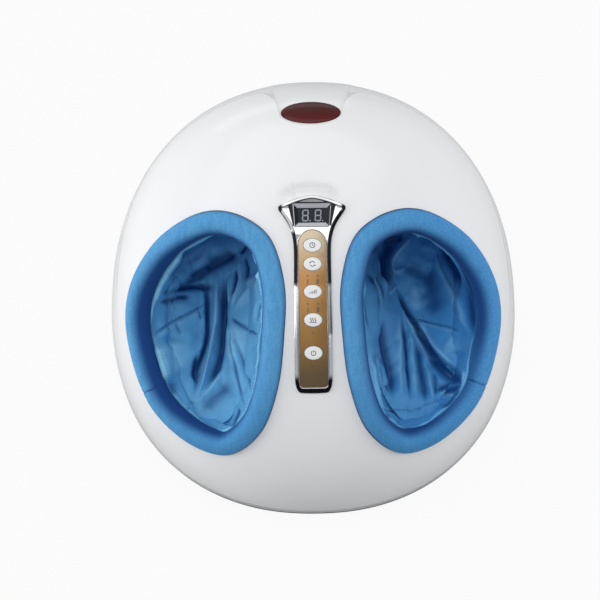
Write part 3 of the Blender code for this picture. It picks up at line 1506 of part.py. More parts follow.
def receiver_board():
    """Oval board under the lens's skirt, with the receiver's eye in the middle."""
    top = -LENS_SKIRT - CLEARANCE
    outline = oval(LENS_WIDTH / 2 - CLEARANCE, LENS_LENGTH / 2 - CLEARANCE, LENS_STEPS)
    board = prism("receiver_board", outline, top - BOARD_THICKNESS, top)
    profile = (
        (RECEIVER_EYE_RADIUS, top - SINK), (RECEIVER_EYE_RADIUS, top + RECEIVER_EYE_HEIGHT / 2),
        (RECEIVER_EYE_RADIUS / 2, top + RECEIVER_EYE_HEIGHT),
    )
    combine(board, [turned("eye", profile, SPINDLE_STEPS)], "UNION")
    return shade(lens_placed(board), GREEN_BOARD)


# Air system

def airbag(name, side):
    """Pillow under the dome, its top following the inner skin, with a nipple at the back."""
    def skins(x, y, share):
        swell = math.sqrt(1 - share ** AIRBAG_FULL_SHARE)
        top = dome_height(x, y, SHELL_WALL + AIRBAG_GAP)
        return top, top - AIRBAG_SEAM - AIRBAG_THICKNESS * swell

    lower, upper = [], []
    for share in AIRBAG_RING_SHARES:
        low_row, high_row = [], []
        for u, v in oval(AIRBAG_WIDTH / 2, AIRBAG_LENGTH / 2, AIRBAG_STEPS):
            x, y = side * AIRBAG_X + u * share, AIRBAG_Y + v * share
            top, bottom = skins(x, y, share)
            low_row.append((x, y, bottom))
            high_row.append((x, y, top))
        lower.append(low_row)
        upper.append(high_row)
    top, bottom = skins(side * AIRBAG_X, AIRBAG_Y, 0)
    tips = ((side * AIRBAG_X, AIRBAG_Y, bottom), (side * AIRBAG_X, AIRBAG_Y, top))
    bag = loft(name, lower + upper[::-1], tips=tips)
    end = nipple_end(side)
    profile = ((NIPPLE_RADIUS, 0), (NIPPLE_RADIUS, NIPPLE_LENGTH))
    nipple = moved(turned("nipple", profile, SPINDLE_STEPS), end, turn_about("X", math.pi / 2))
    return shade(combine(bag, [nipple], "UNION"), AIRBAG_VINYL, 50)


def nipple_end(side):
    """Free end of the airbag's nipple, which points backwards."""
    x = NIPPLE_X
    off = (x - AIRBAG_X) / (AIRBAG_WIDTH / 2)
    edge_y = AIRBAG_Y + AIRBAG_LENGTH / 2 * math.sqrt(1 - off ** 2)
    z = dome_height(x, edge_y, SHELL_WALL) - NIPPLE_DROP
    return Vector((side * x, edge_y + NIPPLE_LENGTH * NIPPLE_OUT_SHARE, z))


def valve_end(side):
    z = TRAY_BOTTOM + TRAY_FLOOR + VALVE_LIFT + VALVE_HEIGHT / 2
    return Vector((side * (VALVE_WIDTH / 2 + VALVE_SPOUT_LENGTH), VALVE_Y, z))


def air_valve():
    floor = TRAY_BOTTOM + TRAY_FLOOR + VALVE_LIFT
    body = block("air_valve", VALVE_WIDTH, VALVE_DEPTH, floor, floor + VALVE_HEIGHT)
    across = VALVE_WIDTH / 2 + VALVE_SPOUT_LENGTH
    profile = ((VALVE_SPOUT_RADIUS, -across), (VALVE_SPOUT_RADIUS, across))
    spouts = moved(turned("spouts", profile, SPINDLE_STEPS), turn=turn_about("Y", math.pi / 2))
    combine(body, [moved(spouts, (0, 0, floor + VALVE_HEIGHT / 2))], "UNION")
    stem = block("stem", VALVE_WIDTH / 2, VALVE_DEPTH / 2, TRAY_BOTTOM + TRAY_FLOOR + CLEARANCE, floor + SINK)
    combine(body, [stem], "UNION")
    return place(shade(body, BLACK_PLASTIC), (0, VALVE_Y, 0))


def air_pump():
    floor = TRAY_BOTTOM + TRAY_FLOOR + CLEARANCE
    outline = rounded_box(PUMP_WIDTH / 2, PUMP_DEPTH / 2, PUMP_DEPTH / 6)
    body = prism("air_pump", outline, floor, floor + PUMP_HEIGHT)
    top = floor + PUMP_HEIGHT
    profile = (
        (PUMP_MOTOR_RADIUS, top - SINK), (PUMP_MOTOR_RADIUS, top + PUMP_MOTOR_HEIGHT),
        (PUMP_MOTOR_RADIUS / 3, top + PUMP_MOTOR_HEIGHT),
        (PUMP_MOTOR_RADIUS / 3, top + PUMP_MOTOR_HEIGHT + MOTOR_TAIL_LENGTH),
    )
    combine(body, [turned("pump_motor", profile, MOTOR_STEPS)], "UNION")
    level = TRAY_BOTTOM + TRAY_FLOOR + VALVE_LIFT + VALVE_HEIGHT / 2
    spout = ((VALVE_SPOUT_RADIUS, 0), (VALVE_SPOUT_RADIUS, VALVE_PUMP_GAP - CLEARANCE + SINK * 2))
    pipe = turned("pump_spout", spout, SPINDLE_STEPS)
    start = (0, SINK * 2 - PUMP_DEPTH / 2, level)
    combine(body, [moved(pipe, start, turn_about("X", math.pi / 2))], "UNION")
    return place(shade(body, STEEL), (0, PUMP_Y, 0))


def air_hose(name, side):
    """Vinyl hose from the valve's spout up to the airbag's nipple."""
    first = valve_end(side) + Vector((side * CLEARANCE, 0, 0))
    last = nipple_end(side) + Vector((0, CLEARANCE, 0))
    start = first + Vector((side * HOSE_LEAD, 0, 0))
    end = last + Vector((0, HOSE_LEAD, 0))
    route = []
    for across, back, up in HOSE_ROUTE_SHARES:
        route.append(Vector((
            lerp(start.x, end.x, across),
            lerp(start.y, end.y, up) + back * HOSE_SPAN_Y,
            lerp(start.z, end.z, up),
        )))
    curve = bpy.data.curves.new(name, "CURVE")
    curve.dimensions = "3D"
    curve.bevel_depth = HOSE_RADIUS
    curve.bevel_resolution = 1
    curve.use_fill_caps = True
    line = curve.splines.new("POLY")
    spots = [first, *open_curve(route, HOSE_POINTS), last]
    line.points.add(len(spots) - 1)
    for point, spot in zip(line.points, spots):
        point.co = (*spot, 1.0)
    hose = bpy.data.objects.new(name, curve)
    bpy.context.scene.collection.objects.link(hose)
    curve.materials.append(CLEAR_HOSE)
    return hose


def open_curve(points, steps):
    """Catmull-Rom curve through the points, its ends included."""
    padded = [2 * points[0] - points[1], *points, 2 * points[-1] - points[-2]]
    runs = len(points) - 1
    spots = []
    for k in range(steps):
        where = k / (steps - 1) * runs
        i = min(int(where), runs - 1)
        t = where - i
        before, start, end, after = padded[i:i + 4]
        spots.append(0.5 * (
            2 * start + (end - before) * t
            + (2 * before - 5 * start + 4 * end - after) * t ** 2
            + (3 * start - before - 3 * end + after) * t ** 3
        ))
    return spots


# Electronics

def main_corners():
    x = MAIN_WIDTH / 2 - STANDOFF_RADIUS
    y = MAIN_LENGTH / 2 - STANDOFF_RADIUS
    return [(sx * x, MAIN_Y + sy * y) for sy in (-1, 1) for sx in (-1, 1)]


def board_floor():
    return TRAY_BOTTOM + TRAY_FLOOR + MAIN_LIFT


def standoffs(low):
    posts = []
    for x, y in main_corners():
        profile = ((STANDOFF_RADIUS, low), (STANDOFF_RADIUS, board_floor() - CLEARANCE))
        posts.append(moved(turned("standoff", profile, PLUNGER_STEPS), (x, y, 0)))
    return posts


def main_board():
    low = board_floor()
    top = low + BOARD_THICKNESS
    board = block("main_board", MAIN_WIDTH, MAIN_LENGTH, low, top)
    quarter = MAIN_LENGTH / 4
    coil = rounded_box(TRANSFORMER_WIDTH / 2, TRANSFORMER_LENGTH / 2, CAPACITOR_RADIUS / 2)
    added = [moved(prism("transformer", coil, top - SINK, top + TRANSFORMER_HEIGHT), (0, quarter, 0))]
    for side in (-1, 1):
        can = ((CAPACITOR_RADIUS, top - SINK), (CAPACITOR_RADIUS, top + CAPACITOR_HEIGHT))
        spot = (side * MAIN_WIDTH / 4, CAPACITOR_RADIUS, 0)
        added.append(moved(turned("capacitor", can, SPINDLE_STEPS), spot))
    fins_y = -quarter
    base = block("sink_base", SINK_FIN_PITCH * SINK_FINS, SINK_FIN_LENGTH, top - SINK, top + SINK_FIN_THICKNESS)
    added.append(moved(base, (0, fins_y, 0)))
    for i in range(SINK_FINS):
        fin = block("fin", SINK_FIN_THICKNESS, SINK_FIN_LENGTH * SINK_FIN_LENGTH_SHARE, top, top + SINK_FIN_HEIGHT)
        added.append(moved(fin, ((i - (SINK_FINS - 1) / 2) * SINK_FIN_PITCH, fins_y, 0)))
    combine(board, added, "UNION")
    return place(shade(board, GREEN_BOARD), (0, MAIN_Y, 0))


def inlet_placed(obj):
    """Turns +Z of a shape to point backwards, out of the rear wall, with its origin on the wall."""
    return moved(obj, (0, SHELL_DEPTH / 2, INLET_Z), turn_about("X", -math.pi / 2))


def inlet_prism(name, margin, low_extra, high_extra):
    outline = rounded_box(INLET_WIDTH / 2 + margin, INLET_HEIGHT / 2 + margin, SOCKET_HEIGHT / 4)
    return prism(name, outline, -INLET_DEPTH + low_extra, high_extra)


def power_inlet():
    """Two-pin appliance inlet set into the rear wall."""
    face = -INLET_FACE_INSET
    body = inlet_prism("power_inlet", 0, 0, face)
    behind = -SHELL_WALL - INLET_SEAT
    flange_outline = rounded_box(INLET_WIDTH / 2 + INLET_FLANGE, INLET_HEIGHT / 2 + INLET_FLANGE, SOCKET_HEIGHT / 4)
    flange = prism("flange", flange_outline, behind - INLET_FLANGE_THICKNESS, behind)
    combine(body, [flange], "UNION")
    socket = [(y, x) for x, y in capsule(SOCKET_HEIGHT / 2, SOCKET_WIDTH / 2, SOCKET_END_STEPS)]
    combine(body, [prism("socket", socket, face - SOCKET_DEPTH, OVERRUN)])
    pins = []
    for side in (-1, 1):
        profile = (
            (PIN_RADIUS, face - SOCKET_DEPTH - SINK), (PIN_RADIUS, face - PIN_INSET - PIN_RADIUS),
            (PIN_RADIUS / 2, face - PIN_INSET),
        )
        pins.append(moved(turned("pin", profile, PLUNGER_STEPS), (side * PIN_SPACING / 2, 0, 0)))
    combine(body, pins, "UNION")
    return shade(inlet_placed(body), BLACK_PLASTIC)


clear_scene()

WHITE_GLOSS = material("white_gloss", (0.84, 0.85, 0.87), 0.12)
DARK_PLASTIC = material("dark_plastic", (0.09, 0.09, 0.10), 0.45)
GREY_PLASTIC = material("grey_plastic", (0.42, 0.43, 0.45), 0.5)
BLACK_PLASTIC = material("black_plastic", (0.02, 0.02, 0.022), 0.4)
BLACK_RUBBER = material("black_rubber", (0.03, 0.03, 0.03), 0.8)
BLUE_PAD = material("blue_pad", (0.08, 0.28, 0.60), 0.75)
BLUE_SATIN = material("blue_satin", (0.07, 0.30, 0.62), 0.42)
CHROME = material("chrome", (0.80, 0.81, 0.83), 0.08, 1.0)
GOLD = material("gold_plate", (0.62, 0.44, 0.20), 0.35, 0.8)
SMOKED_CLEAR = material("smoked_window", (0.06, 0.07, 0.09), 0.1)
WHITE_BUTTON = material("white_button", (0.88, 0.88, 0.86), 0.35)
RED_LENS = material("red_lens", (0.16, 0.02, 0.02), 0.12)
GREEN_BOARD = material("green_board", (0.05, 0.22, 0.09), 0.5)
STEEL = material("steel", (0.55, 0.56, 0.58), 0.3, 1.0)
CREAM_NYLON = material("cream_nylon", (0.80, 0.76, 0.62), 0.5)
HEAT_FILM = material("heat_film", (0.55, 0.30, 0.10), 0.5)
AIRBAG_VINYL = material("airbag_vinyl", (0.30, 0.31, 0.33), 0.55)
CLEAR_HOSE = material("hose_vinyl", (0.75, 0.76, 0.74), 0.35)

upper_shell()
lower_shell()
rubber_feet()
base_screws()
for label, side in SIDES:
    rim_pad(f"{label}_rim_pad", side)
    liner_frame(f"{label}_liner_frame", side)
    foot_liner(f"{label}_foot_liner", side)
    airbag(f"{label}_airbag", side)
    air_hose(f"{label}_air_hose", side)
foot_modules()
panel_bezel()
panel_plate()
display_window()
display_module()
control_board()
panel_buttons()
indicator_lens()
receiver_board()
air_pump()
air_valve()
main_board()
power_inlet()
bpy.context.view_layer.update()
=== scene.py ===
import json
import math

import bmesh
import bpy
import numpy as np
from mathutils import Matrix, Vector
from mathutils.bvhtree import BVHTree


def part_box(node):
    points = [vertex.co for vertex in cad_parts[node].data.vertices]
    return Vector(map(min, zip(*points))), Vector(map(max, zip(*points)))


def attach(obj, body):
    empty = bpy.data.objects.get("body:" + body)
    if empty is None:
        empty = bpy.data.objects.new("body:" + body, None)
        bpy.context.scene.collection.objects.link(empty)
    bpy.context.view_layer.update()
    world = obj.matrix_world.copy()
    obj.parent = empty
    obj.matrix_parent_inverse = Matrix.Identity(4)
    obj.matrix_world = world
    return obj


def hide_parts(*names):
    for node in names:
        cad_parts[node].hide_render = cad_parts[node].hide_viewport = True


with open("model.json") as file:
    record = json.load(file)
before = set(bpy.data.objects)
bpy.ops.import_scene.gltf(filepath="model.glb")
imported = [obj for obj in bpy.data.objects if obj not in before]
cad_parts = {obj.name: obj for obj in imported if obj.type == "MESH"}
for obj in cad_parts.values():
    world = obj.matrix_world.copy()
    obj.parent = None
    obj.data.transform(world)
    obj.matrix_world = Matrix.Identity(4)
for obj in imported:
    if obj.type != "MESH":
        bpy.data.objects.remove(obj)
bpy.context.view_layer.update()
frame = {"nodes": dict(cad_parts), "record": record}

nodes = frame["nodes"]
random = np.random.default_rng(439)
sides = (("left", -1), ("right", 1))
mm = 0.001


# Meshes

def placed(name, data):
    obj = bpy.data.objects.new(name, data)
    bpy.context.scene.collection.objects.link(obj)
    return obj


def link(name, mesh, slot, body="base", paint=None):
    # a finished piece: its object, paint, body and slot
    obj = placed(name, mesh)
    mesh.materials.append(paint or paints[slot])
    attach(obj, body)
    return obj


def meshOf(name, points, faces):
    mesh = bpy.data.meshes.new(name)
    mesh.from_pydata(points, [], faces)
    return mesh


def outward(mesh):
    # makes every face of a closed mesh look outwards
    shape = bmesh.new()
    shape.from_mesh(mesh)
    bmesh.ops.recalc_face_normals(shape, faces=shape.faces)
    shape.to_mesh(mesh)
    shape.free()
    return mesh


def smooth(mesh, angle=32):
    mesh.shade_smooth()
    mesh.set_sharp_from_angle(angle=math.radians(angle))
    return mesh


def skin(name, grid, rings=False, metres=None, tips=(None, None)):
    # quads over grid[ring, step]; every ring is closed, and rings says that the last meets the first;
    # metres is a UV grid, and a tip closes its end with a fan
    count, steps = grid.shape[:2]
    points = grid.reshape(-1, 3)
    faces, corners = [], []
    for i in range(count if rings else count - 1):
        for j in range(steps):
            quad = ((i, j), (i, j + 1), (i + 1, j + 1), (i + 1, j))
            faces.append([(a % count) * steps + b % steps for a, b in quad])
            corners += quad
    extra = []
    for end, tip in zip((0, count - 1), tips):
        if tip is None:
            continue
        extra.append(tip)
        middle = len(points) + len(extra) - 1
        for j in range(steps):
            faces.append([end * steps + j, end * steps + (j + 1) % steps, middle])
    if extra:
        points = np.vstack([points, np.array(extra)])
    mesh = meshOf(name, points.tolist(), faces)
    if metres is not None:
        layer = mesh.uv_layers.new(name="metres")
        spots = np.zeros((len(mesh.loops), 2), np.float32)
        spots[:len(corners)] = [metres[a, b] for a, b in corners]
        layer.data.foreach_set("uv", spots.ravel())
    return mesh


def closed(name, grid, ends, tips=(None, None)):
    # a skin shut by the faces in ends
    mesh = skin(name, grid, tips=tips)
    points = [tuple(v.co) for v in mesh.vertices]
    faces = [list(p.vertices) for p in mesh.polygons]
    return outward(meshOf(name, points, faces + ends))


def capped(name, grid):
    # a closed solid over rings that share one symmetric order: each end is rungs from side to side
    count, steps = grid.shape[:2]
    return closed(name, grid, [[first + i, first + i + 1, first + steps - 2 - i, first + steps - 1 - i]
                               for first in (0, (count - 1) * steps) for i in range(steps // 2 - 1)])


def closedBelow(name, grid, tip):
    # a solid with a fan on top and a flat face below
    count, steps = grid.shape[:2]
    return closed(name, grid, [[(count - 1) * steps + i for i in range(steps)]], (tip, None))


def prism(outline, low, high):
    count = len(outline)
    grid = np.array([np.column_stack([outline, np.full(count, z)]) for z in (low, high)])
    return closed("prism", grid, [list(range(count)), list(range(count, 2 * count))])


def cut(mesh, tools):
    # exact Booleans on loose objects that are thrown away
    body = placed("cutBody", mesh)
    for tool in tools:
        helper = placed("cutTool", tool)
        change = body.modifiers.new("cut", "BOOLEAN")
        change.operation = "DIFFERENCE"
        change.solver = "EXACT"
        change.object = helper
        graph = bpy.context.evaluated_depsgraph_get()
        made = bpy.data.meshes.new_from_object(body.evaluated_get(graph))
        body.modifiers.clear()
        body.data = made
        bpy.data.objects.remove(helper)
    made = body.data
    bpy.data.objects.remove(body)
    return made


def transformed(mesh, place=(0, 0, 0), turnX=0.0):
    mesh.transform(Matrix.Translation(place) @ Matrix.Rotation(turnX, 4, "X"))
    return mesh


def coords(mesh):
    spots = np.zeros(len(mesh.vertices) * 3)
    mesh.vertices.foreach_get("co", spots)
    return spots.reshape(-1, 3)


def addShade(mesh, values, name="paintedDarkening"):
    # a number for every point, which the paints read by its name; by default the painted darkening
    layer = mesh.attributes.new(name, "FLOAT", "POINT")
    layer.data.foreach_set("value", np.asarray(values, np.float32))


def turnsOf(steps, offset=0.0):
    return (np.arange(steps) + offset) / steps * 2 * math.pi


def oval(halfWidth, halfLength, steps):
    angles = turnsOf(steps)
    return np.column_stack([halfWidth * np.cos(angles), halfLength * np.sin(angles)])


def symmetricTurns(steps):
    # angles whose order is symmetric about the front-back line, so that capped() can shut the ends
    return turnsOf(steps, 0.5) - math.pi / 2


def rounded(halfWidth, halfLength, corner, steps=6):
    points = []
    for turn, (sx, sy) in enumerate(((1, 1), (-1, 1), (-1, -1), (1, -1))):
        for i in range(steps + 1):
            angle = math.pi / 2 * (turn + i / steps)
            points.append((sx * (halfWidth - corner) + corner * math.cos(angle),
                           sy * (halfLength - corner) + corner * math.sin(angle)))
    return np.array(points)


# Materials

class Term:
    # a socket of a material; sums with it become Math nodes
    def __init__(self, paint, socket):
        self.paint = paint
        self.socket = socket

    def math(self, kind, *others):
        return self.paint.math(kind, self, *others)

    def __add__(self, other):
        return self.math("ADD", other)

    def __radd__(self, other):
        return self.paint.math("ADD", other, self)

    def __sub__(self, other):
        return self.math("SUBTRACT", other)

    def __mul__(self, other):
        return self.math("MULTIPLY", other)


class Paint:
    def __init__(self, name, **constants):
        self.material = bpy.data.materials.new(name)
        self.material.use_nodes = True
        self.tree = self.material.node_tree
        self.surface = self.tree.nodes["Principled BSDF"]
        for key, value in constants.items():
            self.surface.inputs[key.replace("_", " ")].default_value = value

    def feed(self, socket, value):
        if isinstance(value, Term):
            self.tree.links.new(value.socket, socket)
        elif isinstance(value, tuple) and len(value) == 3 and socket.type == "RGBA":
            socket.default_value = (*value, 1.0)
        else:
            socket.default_value = value

    def node(self, kind, inputs=None, out=0, **settings):
        # any node: settings are its own, inputs its sockets by name or number
        made = self.tree.nodes.new(kind)
        for key, value in settings.items():
            setattr(made, key, value)
        for key, value in (inputs or {}).items():
            self.feed(made.inputs[key], value)
        return Term(self, made.outputs[out])

    def math(self, kind, *values):
        made = self.tree.nodes.new("ShaderNodeMath")
        made.operation = kind
        for socket, value in zip(made.inputs, values):
            self.feed(socket, value)
        return Term(self, made.outputs[0])

    def place(self):
        return self.node("ShaderNodeTexCoord", out="Object")

    def metres(self):
        return self.node("ShaderNodeUVMap", uv_map="metres")

    def shade(self, name):
        return self.node("ShaderNodeAttribute", attribute_name=name, out="Fac")

    def parts(self, vector):
        made = self.node("ShaderNodeSeparateXYZ", {0: vector})
        return [Term(self, socket) for socket in made.socket.node.outputs]

    def noise(self, vector, scale, detail=3.0, roughness=0.5, stretch=None):
        if stretch:
            vector = self.node("ShaderNodeVectorMath", {0: vector, 1: stretch}, operation="MULTIPLY")
        return self.node("ShaderNodeTexNoise", {"Vector": vector, "Scale": scale, "Detail": detail,
                                                "Roughness": roughness}, out="Fac")

    def span(self, value, low, high, start=0.0, end=1.0, soft=True):
        return self.node("ShaderNodeMapRange", {"Value": value, "From Min": low, "From Max": high,
                                                "To Min": start, "To Max": end},
                         interpolation_type="SMOOTHSTEP" if soft else "LINEAR")

    def mix(self, share, first, second):
        made = self.tree.nodes.new("ShaderNodeMix")
        made.data_type = "RGBA"
        self.feed(made.inputs[0], share)
        self.feed(made.inputs[6], first)
        self.feed(made.inputs[7], second)
        return Term(self, made.outputs[2])

    def set(self, **values):
        for key, value in values.items():
            self.feed(self.surface.inputs[key.replace("_", " ")], value)
        return self

    def bump(self, height, depth, strength=1.0):
        # depth is the relief's height in metres
        made = self.node("ShaderNodeBump", {"Height": height, "Distance": depth, "Strength": strength},
                         out="Normal")
        self.set(Normal=made)
        return self.material


def plainPaint(name, colour, roughness, grain=900.0, relief=0.02 * mm, metallic=0.0, shift=0.06, wear=0.12,
               **constants):
    # a moulded or rolled material: fine grain, slow change of shade, uneven polish
    paint = Paint(name, Metallic=metallic, **constants)
    place = paint.place()
    slow = paint.noise(place, 28.0, 4.0)
    fine = paint.noise(place, grain, 3.0)
    darker = tuple(c * (1 - shift) for c in colour)
    lighter = tuple(min(1.0, c * (1 + shift)) for c in colour)
    paint.set(Base_Color=paint.mix(slow, darker, lighter))
    paint.set(Roughness=roughness + (slow - 0.5) * wear + (fine - 0.5) * (wear / 2))
    return paint.bump(fine, relief)


def whiteGloss():
    sizes = dict(peel=1400.0, dust=9000.0, relief=0.004 * mm)
    paint = Paint("whiteGloss", IOR=1.5, Specular_Tint=(1, 1, 1, 1))
    place = paint.place()
    slow = paint.noise(place, 9.0, 3.0)
    peel = paint.noise(place, sizes["peel"], 2.0)
    dust = paint.noise(place, sizes["dust"], 2.0)
    # painted highlight on the lip of the shell's step, painted shade along its foot and in the hollow at the
    # strip
    step = paint.shade("crease")
    base = paint.mix(slow, (0.845, 0.85, 0.862), (0.87, 0.875, 0.885))
    base = paint.mix(paint.span(step, 0.0, 1.0), base, (0.97, 0.97, 0.975))
    base = paint.mix(paint.span(step, -1.0, 0.0, 1.0, 0.0), base, (0.60, 0.605, 0.625))
    paint.set(Base_Color=base)
    paint.set(Roughness=0.24 + (slow - 0.5) * 0.05 + paint.span(dust, 0.62, 0.8, 0.0, 0.08))
    paint.set(Coat_Weight=0.3, Coat_Roughness=0.14)
    return paint.bump(peel, sizes["relief"])


def padCloth():
    sizes = dict(thread=0.75 * mm, relief=0.14 * mm)
    paint = Paint("bluePad", Specular_IOR_Level=0.2, Sheen_Weight=0.10, Sheen_Roughness=0.45,
                  Sheen_Tint=(0.40, 0.70, 1.0, 1.0))
    across, along, _ = paint.parts(paint.metres())
    wobble = (paint.noise(paint.metres(), 180.0, 2.0) - 0.5) * 0.9
    turn = 2 * math.pi / sizes["thread"]
    warp = (across * turn + wobble).math("SINE")
    weft = (along * turn + wobble).math("SINE")
    plain = warp * weft
    fluff = paint.noise(paint.place(), 2600.0, 3.0)
    slow = paint.noise(paint.place(), 45.0, 3.0)
    grain = paint.noise(paint.place(), 340.0, 2.0, stretch=(1.0, 0.16, 0.16))
    mottle = paint.noise(paint.place(), 620.0, 3.0, 0.65)
    height = plain * 0.35 + fluff * 0.6 + mottle * 0.9
    base = paint.mix(slow, (0.085, 0.325, 0.620), (0.120, 0.385, 0.690))
    # painted shade: the cloth darkens towards the right-hand pad, where less light falls
    across = paint.parts(paint.place())[0]
    base = paint.mix(paint.span(across, -0.02, 0.16, 0.0, 0.70), base, (0.045, 0.240, 0.560))
    base = paint.mix(paint.span(mottle, 0.35, 0.68, 0.0, 0.28), base, (0.16, 0.46, 0.80))
    base = paint.mix(paint.span(grain, 0.40, 0.66, 0.0, 0.30), base, (0.045, 0.250, 0.560))
    # painted shade: the pads darken towards the front, away from the light
    front = paint.parts(paint.place())[1]
    base = paint.mix(paint.span(front, -0.175, -0.10, 0.50, 0.0), base, (0.045, 0.235, 0.520))
    # painted shade on the flank falling into the well, along the outer edge and in the seam
    inner = paint.shade("paintedDarkening")
    base = paint.mix(inner * 0.95, base, (0.003, 0.040, 0.20))
    shade = paint.span(height, -0.1, 0.9, 0.0, 1.0)
    paint.set(Base_Color=paint.mix(shade, paint.mix(0.72, base, (0.010, 0.085, 0.30)), base))
    paint.set(Roughness=0.78 + (fluff - 0.5) * 0.16)
    return paint.bump(height, sizes["relief"], 0.8)


def linerSatin():
    sizes = dict(thread=0.34 * mm, relief=0.03 * mm)
    paint = Paint("blueSatin", Specular_IOR_Level=0.55, Specular_Tint=(0.45, 0.75, 1.0, 1.0),
                  Sheen_Weight=0.15, Sheen_Roughness=0.3, Sheen_Tint=(0.25, 0.65, 1.0, 1.0))
    across, along, _ = paint.parts(paint.metres())
    turn = 2 * math.pi / sizes["thread"]
    wobble = (paint.noise(paint.metres(), 260.0, 2.0) - 0.5) * 1.4
    twill = ((across + along * 0.5) * turn + wobble).math("SINE")
    grain = paint.noise(paint.metres(), 1900.0, 2.0, stretch=(1.0, 0.25, 1.0))
    slow = paint.noise(paint.place(), 38.0, 4.0)
    crush = paint.noise(paint.metres(), 70.0, 4.0, 0.6, stretch=(1.0, 0.45, 1.0))
    base = paint.mix(slow, (0.135, 0.430, 0.720), (0.180, 0.510, 0.790))
    # painted shade: the satin darkens towards the right-hand liner, where less light falls
    side = paint.parts(paint.place())[0]
    base = paint.mix(paint.span(side, 0.0, 0.13, 0.0, 0.75), base, (0.050, 0.290, 0.660))
    # painted highlight on the ridges of the folds and on the hem's lip
    paintedHighlight = paint.shade("paintedHighlight")
    base = paint.mix(paintedHighlight * 0.75, base, (0.34, 0.70, 0.92))
    # painted shade in the valleys of the folds and right under the hem
    sunk = paint.shade("paintedDarkening")
    base = paint.mix(paint.span(sunk, 0.02, 0.95, 0.0, 0.97), base, (0.003, 0.035, 0.17))
    paint.set(Base_Color=paint.mix(grain * 0.22, base, (0.012, 0.13, 0.42)))
    paint.set(Roughness=0.40 + (grain - 0.5) * 0.16 + (crush - 0.5) * 0.14)
    return paint.bump(twill * 0.25 + grain * 0.5 + crush * 7.0, sizes["relief"])


def chromePlate():
    paint = Paint("chrome", Metallic=1.0)
    place = paint.place()
    slow = paint.noise(place, 40.0, 3.0)
    wave = paint.noise(place, 260.0, 2.0)
    scuff = paint.noise(place, 2400.0, 3.0, stretch=(1.0, 0.12, 1.0))
    # painted dark reflections, read from the painted darkening on the bezel's rim and the plate's bead
    paintedDarkReflection = paint.shade("paintedDarkening")
    bright = paint.mix(slow, (0.84, 0.845, 0.86), (0.90, 0.905, 0.915))
    paint.set(Base_Color=paint.mix(paintedDarkReflection, bright, (0.014, 0.014, 0.017)))
    paint.set(Roughness=0.12 + (slow - 0.5) * 0.04 + paint.span(scuff, 0.62, 0.78, 0.0, 0.10))
    return paint.bump(wave, 0.006 * mm)


def goldPlate():
    # brushed gold plate; its fade from pale at the head of the strip through orange in the middle to dark brown
    # at its foot is a painted reflection
    sizes = dict(top=0.006, orange=-0.040, brown=-0.085, dark=-0.122)
    paint = Paint("goldPlate", Metallic=0.55, Specular_IOR_Level=0.5)
    place = paint.place()
    _, y, _ = paint.parts(place)
    brushed = paint.noise(place, 900.0, 3.0, 0.6, stretch=(3.0, 0.06, 3.0))
    slow = paint.noise(place, 34.0, 3.0)
    drift = y + (slow - 0.5) * 0.004
    tone = paint.mix(paint.span(drift, sizes["top"], sizes["orange"]),
                     (0.56, 0.475, 0.335), (0.42, 0.205, 0.060))
    tone = paint.mix(paint.span(drift, sizes["orange"], sizes["brown"]), tone, (0.315, 0.160, 0.042))
    tone = paint.mix(paint.span(drift, sizes["brown"], sizes["dark"]), tone, (0.128, 0.086, 0.042))
    paint.set(Base_Color=paint.mix((brushed - 0.35) * 0.4, tone, (0.55, 0.42, 0.24)))
    paint.set(Roughness=0.34 + (brushed - 0.5) * 0.22)
    return paint.bump(brushed, 0.008 * mm)


def redLens():
    paint = Paint("redLens", IOR=1.45, Specular_IOR_Level=0.22)
    place = paint.place()
    _, y, _ = paint.parts(place)
    slow = paint.noise(place, 120.0, 3.0)
    fine = paint.noise(place, 2200.0, 2.0)
    low = paint.span(y + (slow - 0.5) * 0.004, 0.112, 0.136)
    paint.set(Base_Color=paint.mix(low, (0.098, 0.010, 0.010), (0.060, 0.020, 0.018)))
    paint.set(Roughness=0.20 + (slow - 0.5) * 0.05 + paint.span(fine, 0.6, 0.8, 0.0, 0.08))
    paint.set(Coat_Weight=0.12)
    return paint.bump(fine, 0.003 * mm)


def boardPaint():
    # green lacquer with a copper pattern under it
    paint = Paint("greenBoard", Specular_IOR_Level=0.5)
    place = paint.place()
    x, y, _ = paint.parts(place)
    tracks = (x * 1400.0).math("SINE") * (y * 900.0 + (x * 500.0).math("SINE")).math("SINE")
    slow = paint.noise(place, 60.0, 3.0)
    base = paint.mix(slow, (0.020, 0.110, 0.045), (0.032, 0.150, 0.060))
    paint.set(Base_Color=paint.mix(paint.span(tracks, 0.15, 0.25), base, (0.055, 0.21, 0.085)))
    paint.set(Roughness=0.38 + (slow - 0.5) * 0.12)
    return paint.bump(paint.span(tracks, 0.15, 0.25), 0.03 * mm)


def rubberPaint():
    paint = Paint("blackRubber", Specular_IOR_Level=0.3)
    place = paint.place()
    slow = paint.noise(place, 60.0, 4.0)
    fine = paint.noise(place, 1600.0, 4.0, 0.7)
    dusty = paint.span(slow, 0.45, 0.75)
    paint.set(Base_Color=paint.mix(dusty, (0.014, 0.014, 0.015), (0.045, 0.043, 0.041)))
    paint.set(Roughness=0.78 + (fine - 0.5) * 0.2)
    return paint.bump(fine, 0.05 * mm)


